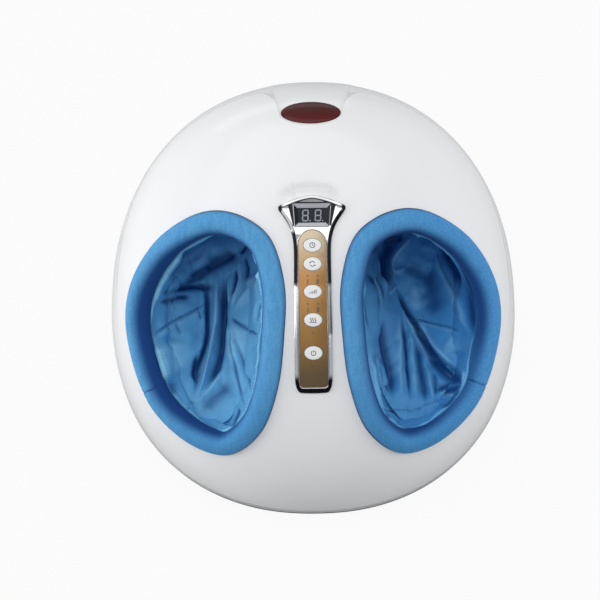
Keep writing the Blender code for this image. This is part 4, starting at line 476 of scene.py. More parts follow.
paints = {
    "white_gloss": whiteGloss(),
    "dark_plastic": plainPaint("darkPlastic", (0.045, 0.046, 0.050), 0.46, 1100.0, 0.05 * mm),
    "grey_plastic": plainPaint("greyPlastic", (0.30, 0.31, 0.33), 0.5, 900.0, 0.05 * mm),
    "black_plastic": plainPaint("blackPlastic", (0.007, 0.007, 0.009), 0.34, 1200.0, 0.03 * mm,
                                Specular_IOR_Level=0.25),
    "black_rubber": rubberPaint(),
    "blue_pad": padCloth(),
    "blue_satin": linerSatin(),
    "chrome": chromePlate(),
    "gold_plate": goldPlate(),
    "smoked_window": plainPaint("smokedWindow", (0.012, 0.013, 0.022), 0.10, 2000.0, 0.002 * mm, wear=0.04,
                                Specular_IOR_Level=0.2),
    "white_button": plainPaint("whiteButton", (0.83, 0.835, 0.84), 0.30, 1500.0, 0.010 * mm, shift=0.02),
    "red_lens": redLens(),
    "green_board": boardPaint(),
    "steel": plainPaint("steel", (0.52, 0.53, 0.55), 0.30, 700.0, 0.01 * mm, metallic=1.0),
    "cream_nylon": plainPaint("creamNylon", (0.74, 0.69, 0.54), 0.48, 800.0, 0.03 * mm),
    "heat_film": plainPaint("heatFilm", (0.46, 0.20, 0.05), 0.42, 500.0, 0.04 * mm),
    "airbag_vinyl": plainPaint("airbagVinyl", (0.16, 0.17, 0.19), 0.5, 1500.0, 0.05 * mm),
    "hose_vinyl": plainPaint("hoseVinyl", (0.66, 0.67, 0.65), 0.33, 1200.0, 0.02 * mm),
}
for row in frame["record"]["subparts"]:
    node = nodes[row["node"]]
    node.data.materials.clear()
    node.data.materials.append(paints[row["material_slot"]])
print("materials on", len(nodes), "nodes")


# The dome's form, which the fine shell, the strip and the pads follow

form = dict(width=0.410, depth=0.420, crown=0.2165, slope=0.30, planPower=2.2, sidePower=2.7,
            seam=0.020, wall=0.003, gridY=-0.060, creaseStep=2.2 * mm, creaseRun=2.0 * mm,
            fadeFrom=0.020, fadeTo=-0.060, margin=2.9 * mm,
            notchInner=9.2, notchOuter=14.2)
# where the crease lies: degrees off the front-back line, share of the way to the outline
creaseLine = ((14.2, 0.769), (16.5, 0.772), (20.5, 0.780), (28.8, 0.806), (34.7, 0.835), (39.2, 0.855),
              (44.0, 0.872), (52.3, 0.890), (70.0, 0.922), (90.0, 0.948), (180.0, 0.955))
lens = dict(y=0.1240, width=56.0 * mm, length=27.5 * mm, rise=0.3 * mm, bulge=0.8, skirt=6.0 * mm, gap=0.3 * mm)


def ease(value):
    value = np.clip(value, 0.0, 1.0)
    return value * value * (3 - 2 * value)


def planShare(x, y, inset=0.0):
    power = form["planPower"]
    across = np.abs(x) / (form["width"] / 2 - inset)
    along = np.abs(y) / (form["depth"] / 2 - inset)
    return (across ** power + along ** power) ** (1 / power)


def domeHeight(x, y, inset=0.0):
    share = np.minimum(1.0, planShare(x, y, inset))
    rise = form["crown"] - inset + form["slope"] * np.asarray(y) - form["seam"]
    side = form["sidePower"]
    return form["seam"] + rise * (1 - share ** side) ** (1 / side)


def domePoint(x, y, inset=0.0):
    x, y = np.broadcast_arrays(np.asarray(x, float), np.asarray(y, float))
    return np.stack([x, y, domeHeight(x, y, inset)], axis=-1)


def domeNormal(x, y, inset=0.0):
    x, y = np.asarray(x, float), np.asarray(y, float)
    halfX, halfY = form["width"] / 2 - inset, form["depth"] / 2 - inset
    plan, side = form["planPower"], form["sidePower"]
    share = np.clip(planShare(x, y, inset), 1e-9, 1.0)
    level = (1 - share ** side) ** (1 / side)
    rise = form["crown"] - inset + form["slope"] * y - form["seam"]
    out = side * share ** (side - plan)
    alongX = out * np.copysign(np.abs(x / halfX) ** (plan - 1), x) / halfX
    alongY = out * np.copysign(np.abs(y / halfY) ** (plan - 1), y) / halfY
    up = side * level ** (side - 1) / rise
    alongY = alongY - side * level ** side * form["slope"] / rise
    return unit(np.stack([alongX, alongY, up], axis=-1))


def reach(angles, share, inset=0.0):
    low = np.zeros_like(angles)
    high = np.full_like(angles, form["width"] + form["depth"])
    for _ in range(50):
        middle = (low + high) / 2
        x, y = middle * np.cos(angles), form["gridY"] + middle * np.sin(angles)
        inside = planShare(x, y, inset) < share
        low = np.where(inside, middle, low)
        high = np.where(inside, high, middle)
    return low


def tongueReach(angles):
    halfWidth = lens["width"] / 2 + form["margin"]
    halfLength = lens["length"] / 2 + form["margin"]
    centre = lens["y"] - form["gridY"]
    across, along = np.cos(angles) / halfWidth, np.sin(angles) / halfLength
    a = across ** 2 + along ** 2
    b = -2 * along * centre / halfLength
    c = (centre / halfLength) ** 2 - 1
    inside = np.maximum(0.0, b * b - 4 * a * c)
    return (-b - np.sqrt(inside)) / (2 * a)


def spineAngle(y):
    normal = domeNormal(0.0, y)
    return -math.atan2(normal[1], normal[2])


def onStrip(y, height=0.0):
    return Vector((0, y, float(domeHeight(0.0, y)) + height))


def setOnStrip(mesh, y, height=0.0):
    # square to the curve of the dome at y
    return transformed(mesh, onStrip(y, height), spineAngle(y))


# Mouths: the frames round each one, from which the cut, the pad and the liner all start

mouth = dict(centreX=101.2 * mm, centreY=-72.5 * mm, width=151.5 * mm, length=203.0 * mm)
mouthShares = np.array([
    (-0.19, 1.0), (-0.584, 0.887), (-0.861, 0.680), (-1.0, 0.296), (-0.987, -0.099), (-0.90, -0.532),
    (-0.677, -0.867), (-0.254, -1.0), (0.287, -0.828), (0.749, -0.453), (0.987, 0.0985), (0.947, 0.512),
    (0.644, 0.818), (0.208, 0.975)])


def curveSpan(before, start, end, after, parts):
    # the smooth way from start to end, between the points before and after them
    t = (np.arange(parts) / parts)[:, None]
    return 0.5 * (2 * start + (end - before) * t + (2 * before - 5 * start + 4 * end - after) * t ** 2
                  + (3 * start - before - 3 * end + after) * t ** 3)


def walked(points):
    # the length of a line up to each of its points
    return np.concatenate([[0], np.cumsum(np.linalg.norm(np.diff(points, axis=0), axis=1))])


def smoothLoop(points, steps):
    # closed smooth curve through the points, cut into equal lengths
    count = len(points)
    fine = np.vstack([curveSpan(*(points[(i + k) % count] for k in (-1, 0, 1, 2)), 64) for i in range(count)])
    shut = np.vstack([fine, fine[:1]])
    lengths = walked(shut)
    wanted = np.arange(steps) / steps * lengths[-1]
    return np.stack([np.interp(wanted, lengths, shut[:, k]) for k in range(shut.shape[1])], axis=1)


def smoothLine(points, parts=8):
    # open smooth curve through the points
    points = np.array(points, float)
    if len(points) < 3:
        return points
    padded = np.vstack([2 * points[0] - points[1], points, 2 * points[-1] - points[-2]])
    fine = [curveSpan(*padded[i - 1:i + 3], parts) for i in range(1, len(padded) - 2)]
    return np.vstack(fine + [points[-1:]])


def unit(vectors):
    return vectors / np.linalg.norm(vectors, axis=-1, keepdims=True)


def mouthFrames(side, steps):
    # edge points on the dome, the way inwards, the normal, and the share pairs they come from
    shares = smoothLoop(mouthShares, steps)
    x = side * (mouth["centreX"] + shares[:, 0] * mouth["width"] / 2)
    y = mouth["centreY"] + shares[:, 1] * mouth["length"] / 2
    edge = domePoint(x, y)
    along = np.roll(edge, -1, axis=0) - np.roll(edge, 1, axis=0)
    normal = domeNormal(x, y)
    inward = unit(np.cross(normal, along))
    middle = domePoint(side * mouth["centreX"], mouth["centreY"])
    flip = np.sign(np.sum(inward * (middle - edge), axis=1))[:, None]
    return edge, inward * flip, normal, shares


def stripLoop(shares, bottomY, topY, halfWidth):
    right = [(width * halfWidth, bottomY + (topY - bottomY) * along) for along, width in shares]
    return right + [(-x, y) for x, y in reversed(right)]


def insetLoop(loop, distance):
    points = np.array(loop)
    before, after = np.roll(points, 1, axis=0), np.roll(points, -1, axis=0)
    first, second = unit(points - before), unit(after - points)
    normal = unit(np.stack([-first[:, 1] - second[:, 1], first[:, 0] + second[:, 0]], axis=1))
    lean = np.maximum(0.5, normal[:, 0] * -first[:, 1] + normal[:, 1] * first[:, 0])
    return points + normal * (distance / lean)[:, None]


def cornerCut(loop, times):
    # rounds a symmetric loop off, keeping its order so that point i still faces point -1 - i
    points = np.array(loop)
    shift = 1
    for _ in range(times):
        after = np.roll(points, -1, axis=0)
        points = np.stack([points * 0.75 + after * 0.25, points * 0.25 + after * 0.75], axis=1).reshape(-1, 2)
        shift = 2 * shift + 1
    return np.roll(points, (shift - 1) // 2, axis=0)


panel = dict(topY=37.7 * mm, bottomY=-131.5 * mm, headWidth=62.0 * mm, flange=2.6 * mm, rim=2.3 * mm,
             rise=2.8 * mm, edge=1.0 * mm, seat=0.5 * mm, floor=0.8 * mm, core=6.0 * mm, gap=0.3 * mm)
panelShares = (
    (0.0, 0.37), (0.010, 0.475), (0.045, 0.560), (0.15, 0.566), (0.265, 0.567), (0.375, 0.565),
    (0.482, 0.560), (0.585, 0.554), (0.689, 0.547), (0.755, 0.560), (0.812, 0.622), (0.860, 0.745),
    (0.900, 0.905), (0.931, 1.02), (0.948, 0.965), (0.968, 0.690), (0.988, 0.38), (1.0, 0.09))


def panelLoop(inset=0.0):
    loop = stripLoop(panelShares, panel["bottomY"], panel["topY"], panel["headWidth"] / 2)
    if inset:
        loop = insetLoop(loop, inset)
    return cornerCut(loop, 3)


def stripRing(loop, height, follow=False):
    x, y = loop[:, 0], loop[:, 1]
    base = domeHeight(x if follow else np.zeros_like(x), y)
    return np.column_stack([x, y, base + height])


# Upper shell: the same dome as the solid's, with a rounded step round the raised face

def bandReach(angles):
    off = np.abs(np.degrees(angles) - 90)
    off = np.minimum(off, 360 - off)
    degrees, shares = np.array(creaseLine).T
    return reach(angles, np.interp(off, degrees, shares))


def creaseDistance(angles):
    band = bandReach(angles)
    off = np.abs(np.degrees(angles) - 90)
    run = np.clip((off - form["notchInner"]) / (form["notchOuter"] - form["notchInner"]), 0, 1)
    blend = np.sin(math.pi / 2 * run ** 0.6)
    inner = tongueReach(np.where(off < form["notchOuter"], angles, math.pi / 2))
    return np.where(off >= form["notchOuter"], band, inner + (band - inner) * blend)


def stepFade(rim, angles):
    # the step runs out towards the front of the shell
    rimY = form["gridY"] + rim * np.sin(angles)
    return ease((rimY - form["fadeTo"]) / (form["fadeFrom"] - form["fadeTo"]))


def creaseLightAndShade(points):
    # painted light and shade: 1 for the painted highlight on the lip of the step, below 0 for painted shade
    # along its foot and in the hollow at the strip, 0 everywhere else
    sizes = dict(lip=0.9 * mm, foot=2.5 * mm, footWidth=1.6 * mm, footShade=0.60, dishShade=0.38,
                 notchEnd=0.4)
    x, y = points[:, 0], points[:, 1] - form["gridY"]
    angles = np.arctan2(y, x)
    table = np.sort(np.concatenate([shellAngles(), shellAngles() - 2 * math.pi]))
    line = creaseDistance(table)
    lean = np.gradient(line, table) / line
    away = np.hypot(x, y) - np.interp(angles, table, line)
    away = away / np.sqrt(1 + np.interp(angles, table, lean) ** 2)
    fade = stepFade(np.interp(angles, table, reach(table, 1.0)), angles)
    off = np.abs(np.degrees(angles) - 90)
    fade = fade * ease((off - form["notchInner"]) / sizes["notchEnd"])
    tone = (np.exp(-(away / sizes["lip"]) ** 2)
            - sizes["footShade"] * np.exp(-((away - sizes["foot"]) / sizes["footWidth"]) ** 2))
    return tone * fade - sizes["dishShade"] * dishDepth(points[:, 0], points[:, 1]) / dish["depth"]


def shellAngles():
    # even columns, closer together beside the tongue
    even = np.linspace(0, 360, 300, endpoint=False)
    even = even[np.abs(even - 90) > form["notchOuter"] + 0.6]
    tongue = np.linspace(-form["notchInner"], form["notchInner"], 25)[1:-1]
    steps = form["notchInner"] + (form["notchOuter"] - form["notchInner"]) * np.linspace(0, 1, 15) ** 1.9
    return np.radians(np.sort(np.concatenate([even, 90 + tongue, 90 + steps, 90 - steps])))


dish = dict(depth=3.0 * mm, inner=2.0 * mm, outer=15.5 * mm, headY=22.0 * mm, headFade=10 * mm,
            sideX=34 * mm, sideFade=14 * mm)
dishLine = np.array([(-29.5, 27.0), (-22.0, 32.5), (-12.0, 36.3), (0.0, 37.7), (12.0, 36.3), (22.0, 32.5),
                     (29.5, 27.0)]) * mm


def dishDepth(x, y):
    # shallow crescent hollow round the head of the strip
    spots = np.stack([x, y], axis=-1)
    best = np.full(np.shape(x), 1.0)
    for a, b in zip(dishLine, dishLine[1:]):
        run = b - a
        t = np.clip(((spots - a) @ run) / (run @ run), 0, 1)
        best = np.minimum(best, np.linalg.norm(spots - a - t[..., None] * run, axis=-1))
    share = (best - dish["inner"]) / (dish["outer"] - dish["inner"])
    bowl = np.where((share > 0) & (share < 1), np.sin(math.pi * np.clip(share, 0, 1) ** 0.7) ** 2, 0.0)
    fade = ease((y - dish["headY"]) / dish["headFade"]) * ease((dish["sideX"] - np.abs(x)) / dish["sideFade"])
    return dish["depth"] * bowl * fade


outerShares = (0.03, 0.08, 0.16, 0.26, 0.38, 0.50, 0.62, 0.73, 0.82, 0.89, 0.94, 0.97, 0.99, 1.0)
liningShares = (0.2, 0.4, 0.56, 0.70, 0.81, 0.89, 0.945, 0.975, 0.99, 0.9975, 1.0)


def outerSkin():
    # rings from the middle of the face to its crease, down the step, and on to the rim
    sizes = dict(core=0.78, coreMore=0.22, opening=60.0, first=0.03, last=0.985, rows=54)
    angles = shellAngles()
    crease = creaseDistance(angles)
    rim = reach(angles, 1.0)
    off = np.abs(np.degrees(angles) - 90)
    opening = ease(np.minimum(off, 360 - off) / sizes["opening"])
    core = bandReach(angles) * (sizes["core"] + sizes["coreMore"] * opening)
    step = form["creaseStep"] * stepFade(rim, angles)
    faceShares = np.append(np.linspace(sizes["first"], sizes["last"], sizes["rows"]), [0.991, 0.996, 1.0])
    rows = [(share * (core + (crease - core) * share ** 3), np.zeros_like(angles)) for share in faceShares]
    rows += [(crease + form["creaseRun"] * t, step * ease(t)) for t in np.linspace(0, 1, 10)[1:]]
    start = crease + form["creaseRun"]
    rows += [(start + (rim - start) * t, step * (1 - t * t)) for t in outerShares]
    grid = []
    for distance, depth in rows:
        x = distance * np.cos(angles)
        y = form["gridY"] + distance * np.sin(angles)
        depth = depth + dishDepth(x, y)
        grid.append(domePoint(x, y) - domeNormal(x, y) * depth[:, None])
    grid[-1][:, 2] = form["seam"]
    return np.array(grid)


def liningRings():
    angles = np.radians(np.linspace(0, 360, 96, endpoint=False))
    rings = []
    for share in liningShares:
        far = reach(angles, 1.0, form["wall"]) * share
        rings.append(domePoint(far * np.cos(angles), form["gridY"] + far * np.sin(angles), form["wall"]))
    rings[-1][:, 2] = form["seam"]
    last = rings[-1].copy()
    last[:, 2] = form["seam"] - 5 * mm
    rings.append(last)
    return np.array(rings)


def mouthCutter(side):
    sizes = dict(steps=256, depth=12 * mm, rise=15 * mm, crown=30 * mm)
    edge, _, normal, _ = mouthFrames(side, sizes["steps"])
    grid = np.array([edge - normal * sizes["depth"], edge + normal * sizes["rise"]])
    centre = domePoint(side * mouth["centreX"], mouth["centreY"])
    up = domeNormal(side * mouth["centreX"], mouth["centreY"])
    return outward(skin("mouthCut", grid, tips=(centre - up * sizes["crown"], centre + up * sizes["crown"])))


def addUpperShell():
    sizes = dict(socketWidth=27.6 * mm, socketHeight=18.6 * mm, socketCorner=1.9 * mm, socketDepth=22 * mm,
                 socketZ=44 * mm, through=5 * mm, slotDepth=10 * mm, sameSkin=0.25 * mm, sameWay=0.9)
    whole = closedBelow("upperShell", outerSkin(), domePoint(0.0, form["gridY"]))
    smoothNormals = np.zeros(len(whole.vertices) * 3, np.float32)
    whole.vertices.foreach_get("normal", smoothNormals)
    smoothNormals = smoothNormals.reshape(-1, 3)
    points = [v.co.copy() for v in whole.vertices]
    faces = [tuple(p.vertices) for p in whole.polygons if len(p.vertices) < 5]
    tree = BVHTree.FromPolygons(points, faces)
    tools = [closedBelow("lining", liningRings(), domePoint(0.0, form["gridY"], form["wall"]))]
    tools += [mouthCutter(side) for _, side in sides]
    slot = panelLoop(panel["flange"] - panel["gap"])
    slotRings = [stripRing(slot, height) for height in (-sizes["slotDepth"], sizes["through"])]
    tools.append(capped("slot", np.array(slotRings)))
    hole = oval(lens["width"] / 2 + lens["gap"], lens["length"] / 2 + lens["gap"], 128)
    tools.append(setOnStrip(prism(hole, -lens["skirt"] - sizes["through"], sizes["through"]),
                            lens["y"], -form["creaseStep"]))
    socket = rounded(sizes["socketWidth"] / 2, sizes["socketHeight"] / 2, sizes["socketCorner"])
    tools.append(transformed(prism(socket, -sizes["socketDepth"], sizes["through"]),
                             (0, form["depth"] / 2, sizes["socketZ"]), -math.pi / 2))
    made = cut(whole, tools)
    smooth(made, 28)
    # where the mesh still lies on the uncut skin, its normals come from there, so that reflections run clean
    normals = [Vector(c.vector) for c in made.corner_normals]
    for face in made.polygons:
        _, normal, _, distance = tree.find_nearest(face.center)
        if distance is None or distance > sizes["sameSkin"] or normal.dot(face.normal) < sizes["sameWay"]:
            continue
        for corner in face.loop_indices:
            spot = made.vertices[made.loops[corner].vertex_index].co
            near, _, index, _ = tree.find_nearest(spot)
            ring = faces[index]
            weights = [1 / ((points[i] - near).length + 1e-7) for i in ring]
            mixed = sum((Vector(smoothNormals[i].tolist()) * w for i, w in zip(ring, weights)), Vector())
            normals[corner] = mixed.normalized()
    made.normals_split_custom_set(normals)
    # painted highlight and shade for the shell's step and the hollow at the strip
    addShade(made, creaseLightAndShade(coords(made)), "crease")
    shell = link("upperShellSkin", made, "white_gloss")
    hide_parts("upper_shell")
    print("upper shell", len(made.polygons), "faces")


addUpperShell()


# Rim pads: a padded ring of woven cloth in each mouth, sewn shut across its lower outer side

pad = dict(gap=0.6 * mm, width=21.2 * mm, crown=4.6 * mm, depth=13.5 * mm, steps=360, around=44,
           seamDepth=1.1 * mm, seamWidth=1.3 * mm, pucker=0.35 * mm, puckerWave=2.2 * mm,
           puckerRun=7 * mm, waver=0.30 * mm, fuller=1.45, fill=0.8,
           leftSeam=(-164.0, -112.0), rightSeam=(163.5, -108.0), flatFlank=1.2 * mm)
padShade = dict(turn=60 * mm, begin=0.62, leftSooner=0.20, rightLater=0.06, run=0.36, top=0.95, topLeft=0.55,
                fall=1.7, rim=0.45, rimAt=0.03, rimWidth=0.07, frontLess=0.30, front=50 * mm, seam=0.6,
                seamWidth=0.9 * mm)
padSection = np.array([
    (0, -0.42), (0, 0), (0.10, 0.62), (0.34, 1), (0.66, 0.95), (0.90, 0.35), (1, -0.40), (0.93, -0.86),
    (0.76, -1), (0.28, -0.60)])


def padRing(side):
    edge, inward, normal, _ = mouthFrames(side, pad["steps"])
    section = padSection * (pad["width"], 1.0)
    section[:, 1] *= np.where(section[:, 1] > 0, pad["crown"] * pad["fuller"], pad["depth"])
    loop = smoothLoop(section, pad["around"])
    loop[:, 0] = np.maximum(loop[:, 0], -0.2 * mm)
    middle = np.array([0.5 * pad["width"], -0.3 * pad["depth"]])
    out = unit(loop - middle)
    seamX, seamY = pad["leftSeam"] if side < 0 else pad["rightSeam"]
    spot = np.array([seamX, seamY]) * mm
    nearest = int(np.argmin(np.linalg.norm(edge[:, :2] - spot, axis=1)))
    walk = np.cumsum(np.linalg.norm(edge - np.roll(edge, 1, axis=0), axis=1))
    off = walk - walk[nearest]
    total = walk[-1]
    off = (off + total / 2) % total - total / 2
    # the seam sinks, the cloth beside it puckers, and the whole ring is a little uneven
    sink = -pad["seamDepth"] * np.exp(-(off / pad["seamWidth"]) ** 2)
    sink += pad["pucker"] * np.cos(off / pad["puckerWave"]) * np.exp(-(off / pad["puckerRun"]) ** 2)
    turns = off / total * 2 * math.pi
    waver = sum(np.sin(k * turns + random.uniform(0, 6.3)) / k for k in (3, 5, 8, 13)) * pad["waver"]
    visible = ease((loop[:, 1] / pad["depth"] + 0.9) / 0.6)
    push = (sink + waver)[None, :] * visible[:, None]
    push = np.where(loop[:, :1] < pad["flatFlank"], np.minimum(push, 0.0), push)
    across = pad["gap"] + loop[:, :1] + push * out[:, :1]
    height = loop[:, 1:] + push * out[:, 1:]
    grid = edge[None] + inward[None] * across[..., None] + normal[None] * height[..., None]
    girth = walked(np.vstack([loop, loop[:1]]))
    way = np.append(walk - walk[0], total)
    metres = np.stack(np.broadcast_arrays(girth[:, None], way[None, :]), axis=-1)
    # painted shade: the flank that falls into the well is painted darkest, most of all in the seam,
    # and wider on the left side of a well than on its right, where the flank faces the light
    shade = padShade
    middle = edge.mean(axis=0)
    leftward = ease((middle[0] - edge[:, 0]) / shade["turn"] - 0.1)
    rightward = ease((edge[:, 0] - middle[0]) / shade["turn"] - 0.1)
    begin = shade["begin"] - shade["leftSooner"] * leftward + shade["rightLater"] * rightward
    inShare, upShare = loop[:, :1] / pad["width"], loop[:, 1:] / (pad["crown"] * pad["fuller"])
    flank = ease((inShare - begin[None]) / shade["run"])
    flank = flank * ease((shade["top"] + shade["topLeft"] * leftward[None] - upShare) / shade["fall"])
    # painted shadow along the ring's outer edge, where it meets the shell
    rim = shade["rim"] * np.exp(-((inShare - shade["rimAt"]) / shade["rimWidth"]) ** 2)
    # the painted flank shade eases off towards the front on the right-hand side
    frontward = ease((middle[1] - edge[:, 1]) / shade["front"] + 0.3)
    flank = flank * (1 - shade["frontLess"] * rightward * frontward)[None]
    # painted shade in the seam
    seam = np.exp(-(off / shade["seamWidth"]) ** 2)[None, :] * shade["seam"] * visible[:, None]
    return grid, metres, np.clip(np.maximum(flank, rim) + seam, 0, 1)


def addRimPads():
    for name, side in sides:
        grid, metres, dark = padRing(side)
        mesh = smooth(outward(skin(f"{name}RimPad", grid, rings=True, metres=metres)), 60)
        # painted shade on the flank, the outer edge and the seam
        addShade(mesh, dark.ravel())
        ring = link(f"{name}RimPadCloth", mesh, "blue_pad")
        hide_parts(f"{name}_rim_pad")
    print("rim pads")


addRimPads()


# Foot liners: the slack satin bag of each well, folded over its sole

bag = dict(start=18.0 * mm, lapIn=3.3 * mm, lapUp=7.5 * mm, drop=26.0 * mm, rise=48.0 * mm, heelRise=0.45,
           bulge=10.0 * mm, soleWidth=92.0 * mm, soleLength=246.0 * mm, soleMiddle=-4.0 * mm,
           soleHeight=22.8 * mm,
           power=2.4, moduleX=99.0 * mm, moduleY=-10.0 * mm, moduleZ=54.5 * mm, tilt=6.0,
           columns=360, wallRows=64, soleRows=60, lip=3.4 * mm, lipAt=0.07, waves=7, waveDepth=3.2 * mm,
           wrinkle=1.5 * mm, loose=9.0 * mm, edgeLift=20.0 * mm, lean=22.0,
           flatWidth=0.50, flatLength=0.24, area=0.085,
           bowlFrom=0.62, bowlRun=0.7, bowlDrop=0.45, bowlRise=0.75, bowlBulge=2.2,
           liftFrom=0.35, liftRun=0.65, lipWidth=0.055, lipStart=0.03, lipUp=0.35, lipIn=0.65,
           twist=1.3, floorRun=0.85)


def bagGrid(side):
    steps = bag["columns"]
    edge, inward, normal, shares = mouthFrames(side, steps)
    tilt = math.radians(bag["tilt"])
    turn = np.array([[1, 0, 0], [0, math.cos(tilt), -math.sin(tilt)], [0, math.sin(tilt), math.cos(tilt)]])
    origin = np.array([side * bag["moduleX"], bag["moduleY"], bag["moduleZ"]])
    angle = np.arctan2(shares[:, 1], side * shares[:, 0])
    c, s = np.cos(angle), np.sin(angle)
    power = 2 / bag["power"]
    sole = np.column_stack([
        bag["soleWidth"] / 2 * np.copysign(np.abs(c) ** power, c),
        bag["soleMiddle"] + bag["soleLength"] / 2 * np.copysign(np.abs(s) ** power, s),
        np.full(steps, bag["soleHeight"])])
    # where the photo shows it lapping the ring, the cloth is sewn higher up the ring's flank
    if side < 0:
        lapped = ease((c + 0.15) / 0.5) * ease((0.80 - s) / 0.5)
    else:
        lapped = ease((c + 0.3) / 0.5) * ease((-0.05 - s) / 0.4)
    start = (edge + inward * (bag["start"] + bag["lapIn"] * lapped)[:, None]
             - normal * (pad["depth"] - bag["lapUp"] * lapped)[:, None])
    end = origin + sole @ turn.T
    out = np.column_stack([c, s, np.zeros(steps)])
    rise = bag["rise"] * (bag["heelRise"] + (1 - bag["heelRise"]) * (s + 1) / 2)
    # towards the toes the cloth follows the pocket, elsewhere it hangs in a fuller bowl
    bowl = ease((bag["bowlFrom"] - s) / bag["bowlRun"])
    first = start - normal * (bag["drop"] * (1 - bag["bowlDrop"] * bowl))[:, None]
    rise = rise * (1 - bag["bowlRise"] * bowl)
    second = end + turn[:, 2] * rise[:, None] + out * (bag["bulge"] * (1 - bag["bowlBulge"] * bowl))[:, None]
    edgeLift = bag["edgeLift"] * bowl
    t = np.linspace(0, 1, bag["wallRows"])
    down = t[:, None, None]
    wall = (start * (1 - down) ** 3 + first * 3 * down * (1 - down) ** 2
            + second * 3 * down ** 2 * (1 - down) + end * down ** 3)
    lifted = ease((t[:, None] - bag["liftFrom"]) / bag["liftRun"])
    wall = wall + turn[:, 2] * (edgeLift[None] * lifted)[..., None]
    wave = np.sin(bag["waves"] * angle[None] + bag["twist"] * 2 * math.pi * t[:, None])
    wave = wave * np.sin(math.pi * t[:, None])
    wall = wall + out[None] * (wave * bag["waveDepth"])[..., None]
    # just under the pad the cloth rolls up and over before it falls
    roll = np.exp(-((t - bag["lipAt"]) / bag["lipWidth"]) ** 2) * ease(t / bag["lipStart"])
    way = normal * bag["lipUp"] + inward * bag["lipIn"]
    wall = wall + way[None] * (roll * bag["lip"])[:, None, None]
    middle = origin + turn @ np.array([0, bag["soleMiddle"], bag["soleHeight"]])
    u = np.linspace(0, 1, bag["soleRows"] + 1)[1:-1, None, None]
    floor = end + (middle - end) * u
    floor = floor + turn[:, 2] * (edgeLift[None, :, None] * (1 - ease(u / bag["floorRun"])))
    return np.concatenate([wall, floor]), middle, t


def gridNormals(grid):
    # the way into the bag at every point of its grid
    around = np.roll(grid, -1, axis=1) - np.roll(grid, 1, axis=1)
    down = np.gradient(grid, axis=0)
    normal = np.cross(around, down)
    normal = unit(normal + 1e-12)
    centre = grid[-1].mean(axis=0) + np.array([0, 0, 0.05])
    flip = np.sign(np.sum(normal * (centre - grid), axis=-1, keepdims=True).mean())
    return normal * flip


def foldShare(spots, leftWidth, rightWidth, points):
    # ridge or valley along a line: its own width on each side, fading out at both ends
    fadeRun, fadeStart, power = 0.3, 0.12, 1.7
    line = smoothLine(points)
    best = np.full(len(spots), 1e9)
    signed = np.zeros(len(spots))
    along = np.zeros(len(spots))
    lengths = walked(line)
    for i, (a, b) in enumerate(zip(line, line[1:])):
        run = b - a
        size = max(run @ run, 1e-9)
        t = np.clip(((spots - a) @ run) / size, 0, 1)
        off = spots - a - t[:, None] * run
        distance = np.linalg.norm(off, axis=1)
        near = distance < best
        side = np.sign(run[0] * off[:, 1] - run[1] * off[:, 0])
        best = np.where(near, distance, best)
        signed = np.where(near, side, signed)
        along = np.where(near, (lengths[i] + t * math.sqrt(size)) / lengths[-1], along)
    width = np.where(signed > 0, leftWidth, rightWidth)
    fade = ease(along / fadeRun + fadeStart) * ease((1 - along) / fadeRun + fadeStart)
    return np.exp(-(best / (width * (0.5 + 0.5 * fade))) ** power) * fade


def softNoise(spots, size, seed):
    # smooth random relief from a few dozen waves, the same every run
    waves = 28
    dice = np.random.default_rng(seed)
    total = np.zeros(len(spots))
    for _ in range(waves):
        way = dice.uniform(0, 2 * math.pi)
        wave = 2 * math.pi / (size * dice.uniform(0.6, 1.7))
        total += np.sin(spots @ (np.array([math.cos(way), math.sin(way)]) * wave) + dice.uniform(0, 6.3))
    return total / math.sqrt(waves / 2)
